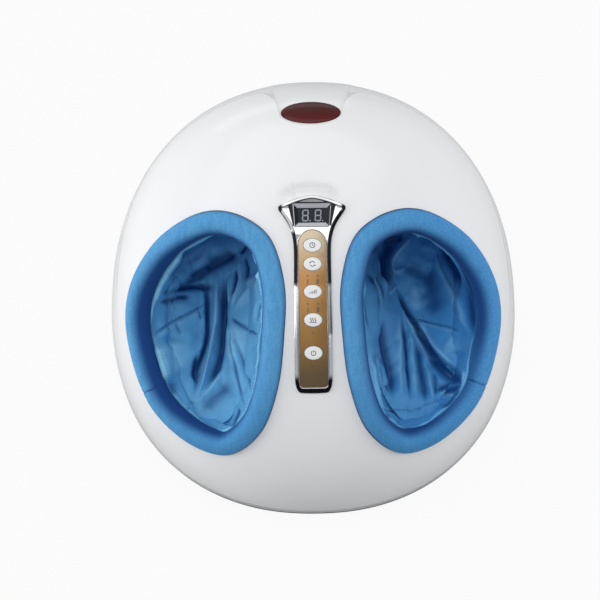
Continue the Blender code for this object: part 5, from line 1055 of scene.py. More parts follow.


# each fold in millimetres: height, width to its left and right, and its line as the camera sees it,
# from the front at 68 degrees
# a fold's height also sets its painted shade in a valley and its painted highlight on a ridge
folds = {
    "left": (
        ("bandRidge", 2.4, 5, 6, ((-90, 93), (-110, 80), (-132, 64), (-141, 49), (-152, 27), (-158, 4))),
        ("toeDark", -4.2, 8, 8, ((-74, 76), (-83, 70), (-95, 66), (-108, 60))),
        ("bandUnder", -2.6, 5, 5, ((-86, 66), (-100, 60), (-112, 50), (-124, 44), (-138, 38))),
        ("bandLight", 1.2, 7, 6,
         ((-78, 92), (-90, 85), (-104, 77), (-117, 67), (-130, 55), (-141, 42), (-149, 27))),
        ("toePanel", 2.2, 8, 9, ((-88, 82), (-106, 70), (-122, 56))),
        ("wedge", -7.0, 4, 5, ((-148, 33), (-133, 38), (-119, 39), (-104, 38), (-96, 37))),
        ("wedgeUpper", -3.5, 4, 7, ((-129, 46), (-118, 52), (-106, 59), (-98, 67))),
        ("wedgeTwo", -3.2, 3.0, 4.0, ((-148, 23), (-141, 26), (-125, 28))),
        ("sideShade", -1.7, 6, 6, ((-152, 22), (-155, -5), (-153, -30), (-146, -52), (-135, -70))),
        ("seam", -2.0, 1.3, 1.6, ((-158, -13), (-149, -6), (-138, 4), (-125, 12), (-112, 19), (-107, 24))),
        ("seamLip", 1.6, 2.2, 3, ((-155, -16), (-147, -10), (-136, -0), (-124, 7), (-111, 14))),
        ("tuckOne", -1.6, 1.6, 1.6, ((-138, 2), (-137, -5), (-133, -13))),
        ("tuckThree", -1.4, 1.6, 1.6, ((-119, 13), (-116, 6), (-114, 2))),
        ("panelSwell", 6.0, 17, 17, ((-144, -15), (-142, -37), (-135, -59))),
        ("panelDent", -1.6, 5, 6, ((-136, -56), (-134, -72))),
        ("valleyLeft", -7.5, 3, 3,
         ((-107, 53), (-106, 19), (-106, -15), (-111, -34), (-116, -50), (-116, -66), (-118, -80))),
        ("valleyFoot", -4.5, 5, 4, ((-118, -34), (-119, -49), (-116, -64))),
        ("ridge", 8.0, 3.6, 3.6,
         ((-98, 58), (-96, 36), (-96, 8), (-98, -12), (-102, -32), (-107, -54), (-114, -81))),
        ("valleyRight", -9.5, 4.5, 5,
         ((-88, 58), (-87, 19), (-88, -15), (-91, -39), (-98, -57), (-110, -78))),
        ("bandLow", 2.6, 3, 4, ((-85, -51), (-98, -67), (-112, -82))),
        ("panelRight", 4.0, 9, 12, ((-69, 1), (-71, -24), (-76, -49))),
        ("creaseA", -2.2, 1.2, 1.6, ((-76, -4), (-76, -24), (-72, -53), (-68, -81), (-65, -91))),
        ("creaseB", -2.4, 1.6, 1.3, ((-74, -7), (-68, -29), (-64, -49), (-58, -71))),
        ("creaseMid", 1.6, 2, 2, ((-74, -16), (-70, -41), (-65, -66))),
        ("cross", -2.8, 1.6, 2.2, ((-78, 7), (-69, -1), (-60, -7), (-51, -12))),
        ("strapLeft", 3.0, 1.6, 3.4, ((-73, 75), (-69, 62), (-67, 43), (-72, 25), (-77, 11))),
        ("strapRight", 3.4, 3.6, 1.4, ((-53, 76), (-47, 63), (-55, 42), (-65, 25), (-76, 10))),
        ("strapHollow", -3.0, 3, 3, ((-64, 70), (-61, 56), (-64, 41))),
        ("strapBeside", -4.0, 2, 2, ((-75, 58), (-73, 43), (-76, 22))),
        ("narrowRidge", 2.2, 1.5, 1.5, ((-81, 53), (-80, 36), (-79, 15))),
        ("thinFold", 1.8, 1.2, 1.2, ((-52, 26), (-55, 15), (-57, 3))),
        ("thinDark", -1.8, 1.2, 1.2, ((-49, 25), (-52, 13), (-54, 1))),
        ("dip", -1.8, 7, 10, ((-107, -98), (-104, -88), (-94, -78), (-86, -71), (-80, -58))),
        ("footFold", -2.6, 1.8, 2.6, ((-79, -104), (-74, -93), (-71, -83))),
        ("footLip", 1.6, 2, 2, ((-121, -83), (-115, -82), (-105, -80))),
        ("footSeam", -1.4, 1.2, 1.2, ((-118, -82), (-120, -85), (-123, -82))),
        ("pleatA", -2.2, 1.4, 1.4, ((-75, 94), (-80, 95), (-81, 90))),
        ("pleatB", -2.2, 1.4, 1.4, ((-68, 94), (-67, 90), (-71, 90))),
        ("spotDark", -4.0, 3, 4, ((-71, 72), (-66, 79), (-61, 80))),
    ),
    "right": (
        ("cavity", -14.0, 6, 7, ((88, 88), (78, 81), (72, 69), (71, 51), (73, 36))),
        ("cavityTop", -8.0, 5, 5, ((70, 83), (81, 89), (94, 89))),
        ("loopEdge", 4.5, 2.2, 3.4, ((101, 94), (98, 86), (91, 77), (82, 65), (79, 51), (79, 39))),
        ("smallRidge", 2.4, 1.6, 2.2, ((78, 50), (87, 53), (95, 57))),
        ("pointLeft", 3.4, 1.6, 1.6, ((64, 69), (66, 48), (69, 27))),
        ("pointRight", 3.4, 1.5, 1.6, ((80, 36), (75, 31), (70, 26))),
        ("crumpleA", -2.6, 1.4, 1.5, ((50, 56), (55, 41), (60, 25), (62, 10))),
        ("crumpleB", -2.2, 1.3, 1.3, ((56, 62), (60, 44), (64, 34), (66, 18))),
        ("crumpleC", 1.9, 1.4, 1.6, ((53, 58), (58, 41), (62, 27), (64, 13))),
        ("crumpleD", -2.0, 1.3, 1.3, ((49, 34), (51, 14), (54, -7))),
        ("deep", -9.5, 2.6, 3.0, ((79, 36), (89, 16), (98, 1), (108, -15), (117, -32), (124, -45))),
        ("deepCore", -9.0, 5, 6, ((101, -5), (109, -18), (118, -33), (127, -45))),
        ("ridgeRight", 5.5, 3.2, 6, ((99, 4), (111, -11), (124, -30), (135, -45), (143, -50))),
        ("ridgeLeft", 3.5, 5, 2.4, ((85, 13), (94, -3), (103, -19), (112, -36), (117, -50))),
        ("pocket", -9.0, 7, 8, ((116, -34), (124, -46), (133, -56), (142, -64))),
        ("pocketLow", -3.0, 4.5, 4.5, ((118, -76), (126, -71), (134, -67), (144, -64))),
        ("rim", 3.4, 2.0, 2.4, ((138, -49), (142, -50), (142, -58), (137, -73))),
        ("pocketLip", 2.4, 2.6, 2.6, ((121, -79), (127, -75), (135, -74))),
        ("seam", -1.9, 1.2, 1.4, ((98, 1), (111, -1), (125, -4), (136, -7), (147, -11))),
        ("seamLip", 1.4, 1.8, 2.2, ((101, -3), (112, -5), (125, -7), (136, -11), (145, -15))),
        ("valleyA", -6.0, 5, 4, ((68, 5), (64, -14), (67, -36), (72, -59), (75, -84))),
        ("lightA", 3.0, 3.4, 3.4, ((81, 6), (80, -17), (81, -51), (83, -83))),
        ("lineB", -3.4, 1.8, 2.2, ((85, 5), (88, -24), (90, -53), (93, -87))),
        ("softRidge", 2.4, 4, 4, ((95, -6), (97, -35), (99, -83))),
        ("softValley", -3.0, 4.5, 4.5, ((102, -21), (105, -51), (109, -90))),
        ("softRidgeTwo", 2.2, 3, 3, ((113, -48), (115, -68), (116, -86))),
        ("softValleyTwo", -2.2, 2.4, 2.4, ((119, -53), (120, -68), (119, -81))),
        ("flap", 3.0, 1.8, 3, ((58, -24), (55, -34), (56, -51), (59, -67), (67, -92))),
        ("flapValley", -3.2, 2.2, 2.2, ((59, -29), (63, -41), (68, -64), (73, -79))),
        ("flapLow", -2.2, 1.3, 1.3, ((62, -66), (66, -71), (68, -78))),
        ("panelEdge", 2.6, 1.4, 4, ((120, 80), (127, 66), (135, 42), (141, 24), (145, 1), (152, -16))),
        ("panelSoft", -2.0, 12, 14, ((116, 62), (120, 40), (124, 20), (122, -2))),
        ("panelShadow", -4.6, 6, 6, ((124, 92), (138, 70), (148, 42), (152, 14), (153, -10), (152, -24))),
        ("panelSoftTwo", 2.5, 8, 8, ((102, 40), (103, 23), (106, 9))),
        ("across", -1.6, 9, 9, ((88, 50), (98, 54), (110, 48), (124, 44))),
        ("panelSwell", 1.3, 12, 12, ((132, -23), (142, -28), (144, -31))),
        ("hem", -1.5, 1.1, 1.2, ((58, -80), (72, -91), (96, -93), (114, -87), (126, -82), (135, -72))),
        ("footDark", -2.6, 1.6, 2.0, ((60, -83), (64, -90), (72, -96))),
    ),
}


linerGrids = {}
# relief in millimetres, and shares of the way from the hem down to the sole
slackness = dict(coarse=26.0, coarseShare=0.7, fine=11.0, fineShare=0.25, share=0.6, held=0.05,
                 looseFrom=0.62, looseRun=0.30, deepest=-2.2, shallower=1.8, soleFrom=0.7, soleRun=0.25,
                 easing=2.0)
# how the liner is painted: painted shade in valleys and under the hem, painted highlight on ridges and the
# hem's lip
linerShade = dict(dark=0.25, darkDepth=5.0, lightHeight=4.5, lightPower=1.5, hemDark=0.022, hemLight=0.03,
                  hemMore=0.32, hemTurn=40 * mm, hemAt=0.055, hemWidth=0.014, lightHides=0.55, darkHides=0.8)


def addLiners():
    slack, tone = slackness, linerShade
    for name, side in sides:
        grid, middle, t = bagGrid(side)
        rows, steps = grid.shape[:2]
        normal = gridNormals(grid)
        flat = grid.reshape(-1, 3)
        lean = math.tan(math.radians(bag["lean"]))
        spots = np.column_stack([flat[:, 0], flat[:, 1] + flat[:, 2] * lean]) * 1000
        relief, dark, light = (np.zeros(len(flat)) for _ in range(3))
        for _, height, leftWidth, rightWidth, points in folds[name]:
            share = foldShare(spots, leftWidth, rightWidth, points)
            relief += height * share
            # a valley is also painted dark and a ridge painted light: painted shade and painted highlight
            if height < 0:
                dark = np.maximum(dark, min(1.0, tone["dark"] - height / tone["darkDepth"]) * share)
            else:
                bright = min(1.0, height / tone["lightHeight"])
                light = np.maximum(light, bright * share ** tone["lightPower"])
        creases = (softNoise(spots, slack["coarse"], 11 + side) * slack["coarseShare"]
                   + softNoise(spots, slack["fine"], 21 + side) * slack["fineShare"])
        relief += creases * bag["wrinkle"] * 1000 * slack["share"]
        relief = relief.reshape(rows, steps)
        downShare = np.concatenate([t, np.ones(rows - len(t))])[:, None]
        hold = ease(downShare / slack["held"])
        # the cloth lies loose over the sole and never sinks into it, nor far out of the wall
        loose = ease((downShare - slack["looseFrom"]) / slack["looseRun"]) * bag["loose"] * 1000
        relief = relief + loose
        nearSole = ease((downShare - slack["soleFrom"]) / slack["soleRun"])
        deepest = slack["deepest"] + slack["shallower"] * nearSole
        room = slack["easing"]
        eased = deepest + room * np.exp((np.minimum(relief - deepest, room) - room) / room)
        relief = np.where(relief < deepest + room, eased, relief)
        # on the walls a fold moves the cloth inwards, on the sole upwards
        moved = grid + normal * (relief * hold * mm)[..., None]
        linerGrids[name] = moved, normal, spots
        span = np.linalg.norm(np.roll(moved, -1, axis=1) - moved, axis=2)
        around = np.concatenate([np.zeros((rows, 1)), np.cumsum(span, axis=1)], axis=1)
        drop = np.cumsum(np.linalg.norm(np.diff(moved, axis=0), axis=2), axis=0)
        fall = np.concatenate([np.zeros((1, steps)), drop])
        fall = np.concatenate([fall, fall[:, :1]], axis=1)
        wallUv = np.stack([np.broadcast_to(around[20:21], fall.shape), fall], axis=-1)
        soleUv = np.concatenate([moved, moved[:, :1]], axis=1)[..., :2]
        metres = np.where((downShare < 1)[..., None], wallUv, soleUv)
        tip = middle + normal[-1].mean(axis=0) * relief[-1].mean() * mm
        mesh = skin(f"{name}Liner", moved, metres=metres, tips=(None, tip))
        up = sum((p.normal * p.area for p in mesh.polygons), Vector())
        if up.z < 0:
            mesh.flip_normals()
        rim = np.broadcast_to(downShare, relief.shape)
        # painted shadow right under the hem, and a painted highlight on the lip below it, brighter on the outer
        # side of each well
        outerSide = ease((side * grid[:1, :, 0] - mouth["centreX"]) / tone["hemTurn"] + 0.5)
        hem = tone["hemLight"] + tone["hemMore"] * outerSide
        dark = np.maximum(dark.reshape(rows, steps), np.exp(-(rim / tone["hemDark"]) ** 2))
        light = np.maximum(light.reshape(rows, steps),
                           hem * np.exp(-((rim - tone["hemAt"]) / tone["hemWidth"]) ** 2))
        sunk = np.clip(dark * (1 - tone["lightHides"] * light), 0, 1)
        paintedHighlight = np.clip(light * (1 - dark * tone["darkHides"]), 0, 1)
        addShade(mesh, np.append(sunk.ravel(), 0.0))
        addShade(mesh, np.append(paintedHighlight.ravel(), 0.0), "paintedHighlight")
        smooth(mesh, 180)
        cloth = link(f"{name}LinerCloth", mesh, "blue_satin")
        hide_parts(f"{name}_foot_liner")
        area = sum(p.area for p in mesh.polygons)
        print(name, "liner", len(mesh.polygons), "faces", round(area, 4), "square metres")


addLiners()


# Airbags: two welded sheets of vinyl under the dome, with their flange and nipple

airbag = dict(inset=8.2 * mm, y=79.0 * mm, width=88.0 * mm, length=66.0 * mm, gap=6.8 * mm, seam=1.2 * mm,
              thickness=13.0 * mm, power=2.4, flange=1.3 * mm, steps=160, pleats=26, pleat=0.4 * mm,
              fill=0.75, weldAt=0.9, weldWidth=0.07, nippleGap=3.0 * mm, nippleIn=15.0 * mm,
              nippleDrop=10.5 * mm, nippleOut=5.2 * mm, nippleRun=9.0 * mm,
              nippleSteps=40)
airbagShares = np.array([0.10, 0.22, 0.36, 0.50, 0.62, 0.73, 0.82, 0.89, 0.94, 0.975, 1.0])
# the nipple's rings in millimetres: how far back from its end, and the radius
nippleRings = ((0.0, 2.0), (0.0, 2.5), (0.6, 2.95), (4.0, 2.95), (4.3, 2.7), (5.0, 2.7), (5.3, 2.95),
               (9.0, 2.95))


def addAirbags():
    turns = turnsOf(airbag["steps"])
    spin = turnsOf(airbag["nippleSteps"])
    halfX, halfY = airbag["width"] / 2, airbag["length"] / 2
    for name, side in sides:
        middle = side * (mouth["centreX"] - airbag["inset"])

        def ring(share, low, extra=0.0):
            x = middle + np.cos(turns) * (halfX * share + extra)
            y = airbag["y"] + np.sin(turns) * (halfY * share + extra)
            z = domeHeight(x, y, airbag["gap"])
            if low:
                swell = math.sqrt(max(0.0, 1 - share ** airbag["power"]))
                pleat = np.cos(turns * airbag["pleats"] + 3 * np.sin(turns * 5)) * airbag["pleat"]
                z = z - airbag["seam"] - airbag["thickness"] * swell
                z = z - pleat * math.exp(-((share - airbag["weldAt"]) / airbag["weldWidth"]) ** 2)
            return np.column_stack([x, y, z])

        rings = [ring(share, True) for share in airbagShares]
        rings += [ring(1.0, low, airbag["flange"]) for low in (True, False)]
        rings += [ring(share, False) for share in airbagShares[::-1]]
        high = float(domeHeight(middle, airbag["y"], airbag["gap"]))
        tips = [(middle, airbag["y"], z) for z in (high - airbag["seam"] - airbag["thickness"], high)]
        mesh = smooth(outward(skin(f"{name}Airbag", np.array(rings), tips=tips)), 50)
        pillow = link(f"{name}AirbagVinyl", mesh, "airbag_vinyl")
        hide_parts(f"{name}_airbag")
        x = side * (mouth["centreX"] - airbag["inset"] - airbag["nippleIn"])
        edgeY = airbag["y"] + halfY * math.sqrt(1 - (airbag["nippleIn"] / halfX) ** 2)
        z = float(domeHeight(x, edgeY, airbag["nippleGap"])) - airbag["nippleDrop"]
        end = edgeY + airbag["nippleOut"]
        tube = [np.column_stack([x + np.cos(spin) * radius * mm, np.full(len(spin), end - back * mm),
                                 z + np.sin(spin) * radius * mm]) for back, radius in nippleRings]
        tips = ((x, end, z), (x, end - airbag["nippleRun"], z))
        mesh = smooth(outward(skin(f"{name}Nipple", np.array(tube), tips=tips)), 40)
        link(f"{name}AirbagNipple", mesh, "airbag_vinyl")
    print("airbags")


addAirbags()


# Control strip: chrome bezel, gold plate, framed window with its two digits

strip = dict(plateWidth=25.4 * mm, plateTop=6.0 * mm, plateBottom=-127.4 * mm, plateThickness=2.0 * mm,
             plateBevel=0.4 * mm, plateCorner=3.0 * mm, gap=0.3 * mm, buttonWidth=16.4 * mm,
             buttonLength=12.4 * mm, buttonGap=0.35 * mm, displayWidth=25.2 * mm, displayLength=16.5 * mm,
             displayY=19.5 * mm, windowTop=29.8 * mm, windowBottom=9.2 * mm, windowTopWidth=34.6 * mm,
             windowBottomWidth=31.4 * mm, windowThickness=1.5 * mm, holeBelow=-9 * mm, holeAbove=6 * mm)
buttonPlaces = {"timer": -7.7 * mm, "mode": -24.1 * mm, "intensity": -48.1 * mm, "heat": -72.1 * mm,
                "power": -99.5 * mm}
plateHeight = panel["floor"] + strip["gap"] + strip["plateThickness"]


def outlineSlab(name, levels):
    # a solid between outlines that lie on the strip's curve: (loop, height, follows the dome)
    return capped(name, np.array([stripRing(loop, height, follow) for loop, height, follow in levels]))


def buttonTool(y):
    gap = strip["buttonGap"]
    hole = oval(strip["buttonWidth"] / 2 + gap, strip["buttonLength"] / 2 + gap, 64)
    return setOnStrip(prism(hole, strip["holeBelow"], strip["holeAbove"]), y, plateHeight)


def rimPaintedReflection(points):
    # painted dark reflections on the polished rim: its ears, the sides beside the plate, the foot, and a grey
    # band over the arch
    sizes = dict(beside=11, earX=30.0, earY=25.5, earWidth=3.2, earLength=4.2, earShade=1.7,
                 footY=-119.0, footRun=5.0, archY=29.5, archRun=1.5, archX=24, archFade=5.0, archShade=0.30)
    x, y = points[:, 0] / mm, points[:, 1] / mm
    far = np.abs(x)

    def between(low, high, soft=3.0):
        return ease((y - low) / soft + 0.5) * ease((high - y) / soft + 0.5)

    rightSide = between(-42, 24) + 0.75 * between(-84, -42)
    leftSide = 0.55 * between(3, 24) + between(-43, 4)
    side = np.clip(np.where(x > 0, rightSide, leftSide), 0, 1) * (far > sizes["beside"])
    ears = np.exp(-(((far - sizes["earX"]) / sizes["earWidth"]) ** 2
                    + ((y - sizes["earY"]) / sizes["earLength"]) ** 2)) * sizes["earShade"]
    foot = ease((sizes["footY"] - y) / sizes["footRun"] + 0.5)
    arch = (sizes["archShade"] * ease((y - sizes["archY"]) / sizes["archRun"])
            * ease((sizes["archX"] - far) / sizes["archFade"]))
    return np.clip(np.maximum.reduce([side, ears, foot, arch]), 0, 1)


def addBezel():
    sizes = dict(lip=0.9 * mm, room=4 * 0.3 * mm, corner=0.6 * mm, below=-10 * mm, above=5 * mm,
                 shadeAbove=0.4 * mm, shadeFrom=30.5 * mm)
    rise, rim, floor = panel["rise"], panel["rim"] + sizes["lip"], panel["floor"]
    levels = []
    for inset, height, follow in (
            (rim + 0.30 * mm, floor, False), (rim, floor + 0.25 * mm, False),
            (rim - 0.05 * mm, rise - 0.5 * mm, False), (rim - 0.30 * mm, rise - 0.12 * mm, False),
            (rim - 0.65 * mm, rise, False),
            (panel["edge"] + 0.15 * mm, rise - 0.02 * mm, False), (0.55 * mm, rise - 0.30 * mm, False),
            (0.20 * mm, rise - 0.75 * mm, False), (0.0, rise - 1.3 * mm, False), (0.0, panel["seat"], True),
            (panel["flange"], panel["seat"], True), (panel["flange"], -panel["core"], False)):
        levels.append((panelLoop(inset), height, follow))
    mesh = outlineSlab("bezel", levels)
    tools = [buttonTool(y) for y in buttonPlaces.values()]
    room = sizes["room"]
    hole = rounded(strip["displayWidth"] / 2 + room, strip["displayLength"] / 2 + room, sizes["corner"], 3)
    tools.append(setOnStrip(prism(hole, sizes["below"], sizes["above"]), strip["displayY"]))
    mesh = smooth(cut(mesh, tools), 40)
    points = coords(mesh)
    above = points[:, 2] - domeHeight(np.zeros(len(points)), points[:, 1])
    # the painted dark reflections go on the rim above the floor and over the arch
    on = ((above > floor + sizes["shadeAbove"]) | (points[:, 1] > sizes["shadeFrom"])).astype(float)
    addShade(mesh, rimPaintedReflection(points) * on)
    piece = link("bezelChrome", mesh, "chrome")
    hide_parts("panel_bezel")


def plateLoop(inset=0.0, steps=18):
    half, corner = strip["plateWidth"] / 2 - inset, strip["plateCorner"] - inset * 0.5
    bottom = strip["plateBottom"] + inset
    top = strip["plateTop"] - inset - half
    right = []
    for i in range(steps // 2):
        angle = math.pi / 2 * (i / (steps // 2 - 1) - 1)
        right.append((half - corner + corner * math.cos(angle), bottom + corner + corner * math.sin(angle)))
    for i in range(1, 30):
        right.append((half, bottom + corner + (top - bottom - corner) * i / 30))
    for i in range(steps + 1):
        angle = math.pi / 2 * i / (steps + 0.35)
        right.append((half * math.cos(angle), top + half * math.sin(angle)))
    return np.array(right + [(-x, y) for x, y in reversed(right)])


def addPlate():
    low = panel["floor"] + strip["gap"]
    bevel = strip["plateBevel"]
    mesh = outlineSlab("plate", [
        (plateLoop(), low, False), (plateLoop(), plateHeight - bevel, False),
        (plateLoop(bevel * 0.35), plateHeight - bevel * 0.3, False), (plateLoop(bevel), plateHeight, False)])
    mesh = smooth(cut(mesh, [buttonTool(y) for y in buttonPlaces.values()]), 30)
    piece = link("plateGold", mesh, "gold_plate")
    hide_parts("panel_plate")
    # a thin polished bead stands round the plate
    rings = ((-0.05 * mm, low - 0.2 * mm), (-0.75 * mm, low - 0.2 * mm),
             (-0.72 * mm, plateHeight - 0.55 * mm), (-0.40 * mm, plateHeight - 0.25 * mm),
             (-0.08 * mm, plateHeight - 0.5 * mm))
    grid = np.array([stripRing(plateLoop(inset), height) for inset, height in rings])
    bead = smooth(outward(skin("plateBead", grid, rings=True)), 50)
    half = strip["plateWidth"] / 2
    points = grid.reshape(-1, 3)
    # painted shade and dark reflection on the bead round the plate's head and down its sides
    dark = 0.8 * ease((points[:, 1] - 1.5 * mm) / (3 * mm)) + 0.35 * (np.abs(points[:, 0]) > half * 0.98)
    addShade(bead, np.clip(dark, 0, 1))
    link("plateBeadChrome", bead, "chrome")


def windowLoop(lowHalf, highHalf, bottom, top, corner):
    right = [(lowHalf - corner, bottom), (lowHalf, bottom + corner * 0.6)]
    for i in range(1, 6):
        share = i / 6
        right.append((lowHalf + (highHalf - lowHalf) * share, bottom + (top - bottom) * share))
    right += [(highHalf, top - corner * 0.6), (highHalf - corner, top)]
    return np.array(right + [(-x, y) for x, y in reversed(right)])


def addWindow():
    sizes = dict(corner=0.9 * mm, lowHalf=12.4 * mm, highHalf=13.4 * mm, bottom=12.9 * mm, top=26.2 * mm,
                 glassCorner=0.3 * mm, glassDrop=1.05 * mm, bevel=0.15 * mm, bevelShare=0.985,
                 glass=0.1 * mm, paleFrom=6.0 * mm, paleLean=0.25, lineUp=0.55 * mm, lineHalf=21.8 * mm,
                 lineLow=0.42 * mm, lineTip=0.4 * mm, sink=0.25 * mm)
    low = panel["floor"] + strip["gap"]
    top = low + strip["windowThickness"]
    outer = windowLoop(strip["windowBottomWidth"] / 2, strip["windowTopWidth"] / 2, strip["windowBottom"],
                       strip["windowTop"], sizes["corner"])
    inner = windowLoop(sizes["lowHalf"], sizes["highHalf"], sizes["bottom"], sizes["top"],
                       sizes["glassCorner"])
    glassHeight = top - sizes["glassDrop"]
    # frame: black cheeks at the sides, pale satin bevels above and below the glass
    grid = np.array([stripRing(outer, low), stripRing(outer, top - sizes["bevel"]),
                     stripRing(outer * (sizes["bevelShare"], 1.0), top), stripRing(inner, glassHeight),
                     stripRing(inner, low)])
    frameMesh = outward(skin("windowFrame", grid, rings=True))
    pale = frameBevel()
    for paint in (paints["smoked_window"], pale):
        frameMesh.materials.append(paint)
    for face in frameMesh.polygons:
        away = abs(face.center.y - strip["displayY"])
        if away > sizes["paleFrom"] and abs(face.normal.x) < sizes["paleLean"]:
            face.material_index = 1
    piece = placed("windowFrameSatin", frameMesh)
    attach(piece, "base")
    glassTop = glassHeight - sizes["glass"]
    glass = outlineSlab("windowGlass", [(inner, low, False), (inner, glassTop, False)])
    pane = link("windowGlass", smooth(glass, 30), "smoked_window")
    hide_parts("display_window")
    addDigits(glassTop)
    # painted shadow line where the frame meets the arch, and a bright edge inside each black cheek
    line = bar(0.0, strip["windowTop"] + sizes["lineUp"], sizes["lineHalf"], sizes["lineLow"],
               sizes["lineTip"])
    low, high, step = strip["windowBottom"], strip["windowTop"], 1.0 * mm
    lowX, highX = strip["windowBottomWidth"] / 2, strip["windowTopWidth"] / 2
    cheeks = [[(side * (lowX + step * 0.2), low + step), (side * (lowX + step * 1.9), low + step),
               (side * (highX + step * 4.9), high), (side * (highX + step * 0.3), high)] for side in (-1, 1)]
    link("windowCheeksAndShadowLine", flatPiece([line] + cheeks, top - sizes["sink"], sizes["sink"]), "black_plastic")
    edge = [(-lowX - 0.6 * mm, low), (-lowX + 0.1 * mm, low),
            (-highX + 0.3 * mm, high), (-highX - 0.5 * mm, high)]
    link("windowEdgeLine", flatPiece([edge], top - sizes["glass"], sizes["sink"]), "chrome", paint=pale)


def frameBevel():
    paint = Paint("frameBevel", Metallic=0.35)
    place = paint.place()
    slow = paint.noise(place, 90.0, 3.0)
    brushed = paint.noise(place, 1400.0, 3.0, stretch=(0.08, 1.0, 1.0))
    paint.set(Base_Color=paint.mix(slow, (0.35, 0.355, 0.38), (0.47, 0.475, 0.51)))
    paint.set(Roughness=0.30 + (brushed - 0.5) * 0.15)
    return paint.bump(brushed, 0.006 * mm)


def flatPiece(parts, height, thickness=0.06 * mm):
    # flat outlines laid on the strip's curve as one mesh of thin slabs
    points, faces = [], []
    for outline in parts:
        count = len(outline)
        start = len(points)
        for level in (height - 0.02 * mm, height + thickness):
            for x, y in outline:
                points.append((x, y, float(domeHeight(0.0, y)) + level))
        for i in range(count):
            j = (i + 1) % count
            faces.append([start + i, start + j, start + count + j, start + count + i])
        faces.append([start + i for i in range(count)])
        faces.append([start + count + i for i in range(count)])
    return outward(meshOf("flat", points, faces))


def bar(x, y, halfWidth, halfLength, tip=0.0):
    # a segment: a bar whose ends run to points
    left, right, low, high = x - halfWidth, x + halfWidth, y - halfLength, y + halfLength
    if halfWidth > halfLength:
        return [(left, y), (left + tip, low), (right - tip, low), (right, y), (right - tip, high),
                (left + tip, high)]
    return [(x, low), (right, low + tip), (right, high - tip), (x, high), (left, high - tip),
            (left, low + tip)]


def disc(x, y, radius, steps=20):
    return [(x + radius * math.cos(2 * math.pi * i / steps), y + radius * math.sin(2 * math.pi * i / steps))
            for i in range(steps)]


def addDigits(height):
    sizes = dict(pitch=11.6 * mm, width=5.0 * mm, length=9.4 * mm, stroke=1.05 * mm, gap=0.16 * mm,
                 y=19.4 * mm, slant=0.05, dot=0.55 * mm, shift=0.2 * mm, dotOut=1.9 * mm, raised=0.05 * mm,
                 core=0.28 * mm, coreUp=0.03 * mm)
    halfW, halfL, half = sizes["width"] / 2, sizes["length"] / 2, sizes["stroke"] / 2
    rim = []
    for cx in (-sizes["pitch"] / 2 - sizes["shift"], sizes["pitch"] / 2 - sizes["shift"]):
        segments = [bar(cx, sizes["y"] + k * halfL, halfW - sizes["gap"], half, half) for k in (-1, 0, 1)]
        for sx in (-1, 1):
            for sy in (-1, 1):
                segments.append(bar(cx + sx * halfW, sizes["y"] + sy * halfL / 2, half,
                                    halfL / 2 - sizes["gap"], half))
        segments.append(disc(cx + halfW + sizes["dotOut"], sizes["y"] - halfL, sizes["dot"], 16))
        for segment in segments:
            rim.append([(x + (y - sizes["y"]) * sizes["slant"], y) for x, y in segment])
    outline = flatPiece(rim, height, sizes["raised"])
    link("digitOutlines", outline, "smoked_window",
         paint=printPaint("digitOutline", (0.40, 0.42, 0.50), (0.52, 0.54, 0.62)))
    core = flatPiece([shrink(p, sizes["core"]) for p in rim], height + sizes["coreUp"], sizes["raised"])
    link("digitCores", core, "smoked_window",
         paint=printPaint("digitCore", (0.13, 0.135, 0.17), (0.19, 0.195, 0.24)))


def shrink(outline, distance):
    points = np.array(outline)
    area = np.sum(points[:, 0] * np.roll(points[:, 1], -1) - np.roll(points[:, 0], -1) * points[:, 1])
    if area < 0:
        points = points[::-1]
    return insetLoop(points, distance)


def printPaint(name, dark, light, scale=3000.0, roughness=0.35, wear=0.1):
    paint = Paint(name)
    grain = paint.noise(paint.place(), scale, 2.0)
    paint.set(Base_Color=paint.mix(grain, dark, light))
    paint.set(Roughness=roughness + (grain - 0.5) * wear)
    return paint.bump(grain, 0.004 * mm)


darkInk = printPaint("darkInk", (0.035, 0.045, 0.065), (0.075, 0.085, 0.11), 4000.0, 0.5, 0.2)


def addPlateMarks():
    # small lamps' dots, and the strokes that number the steps
    sizes = dict(dot=0.72 * mm, across=4.6 * mm, down=10.4 * mm, markDown=15.4 * mm, lone=10.6 * mm,
                 stroke=0.36 * mm, tall=1.7 * mm, apart=0.65 * mm, serif=0.75 * mm, serifHalf=0.16 * mm,
                 raised=0.05 * mm)
    parts = []
    for name in ("mode", "intensity"):
        y = buttonPlaces[name]
        for side in (-1, 1):
            x = side * sizes["across"]
            parts.append(disc(x, y - sizes["down"], sizes["dot"]))
            offsets = (0.0,) if side < 0 else (-sizes["apart"], sizes["apart"])
            for offset in offsets:
                parts.append(bar(x + offset, y - sizes["markDown"], sizes["stroke"], sizes["tall"]))
            wide = sizes["serif"] + abs(offsets[0])
            for end in (-1, 1):
                parts.append(bar(x, y - sizes["markDown"] + end * sizes["tall"], wide, sizes["serifHalf"]))
    for name in ("heat", "power"):
        parts.append(disc(0.0, buttonPlaces[name] - sizes["lone"], sizes["dot"]))
    marks = flatPiece(parts, plateHeight, sizes["raised"])
    link("plateMarks", marks, "black_plastic", paint=darkInk)


addBezel()
addPlate()
addWindow()
addPlateMarks()
print("strip, window and digits")


# Buttons: domed white ovals with a printed sign each, on bodies of their own

button = dict(rise=1.0 * mm, crown=0.6 * mm, flange=0.9 * mm, flangeThickness=1.2 * mm,
              stem=1.8 * mm, signHeight=0.05 * mm, signDepth=0.05 * mm, stroke=0.66 * mm)


def buttonFace(share):
    # height of the top at a share of its half widths: a low dome with a rounded edge
    return button["rise"] - button["crown"] * (1 - (1 - np.clip(share, 0, 1) ** 5) ** 0.5)


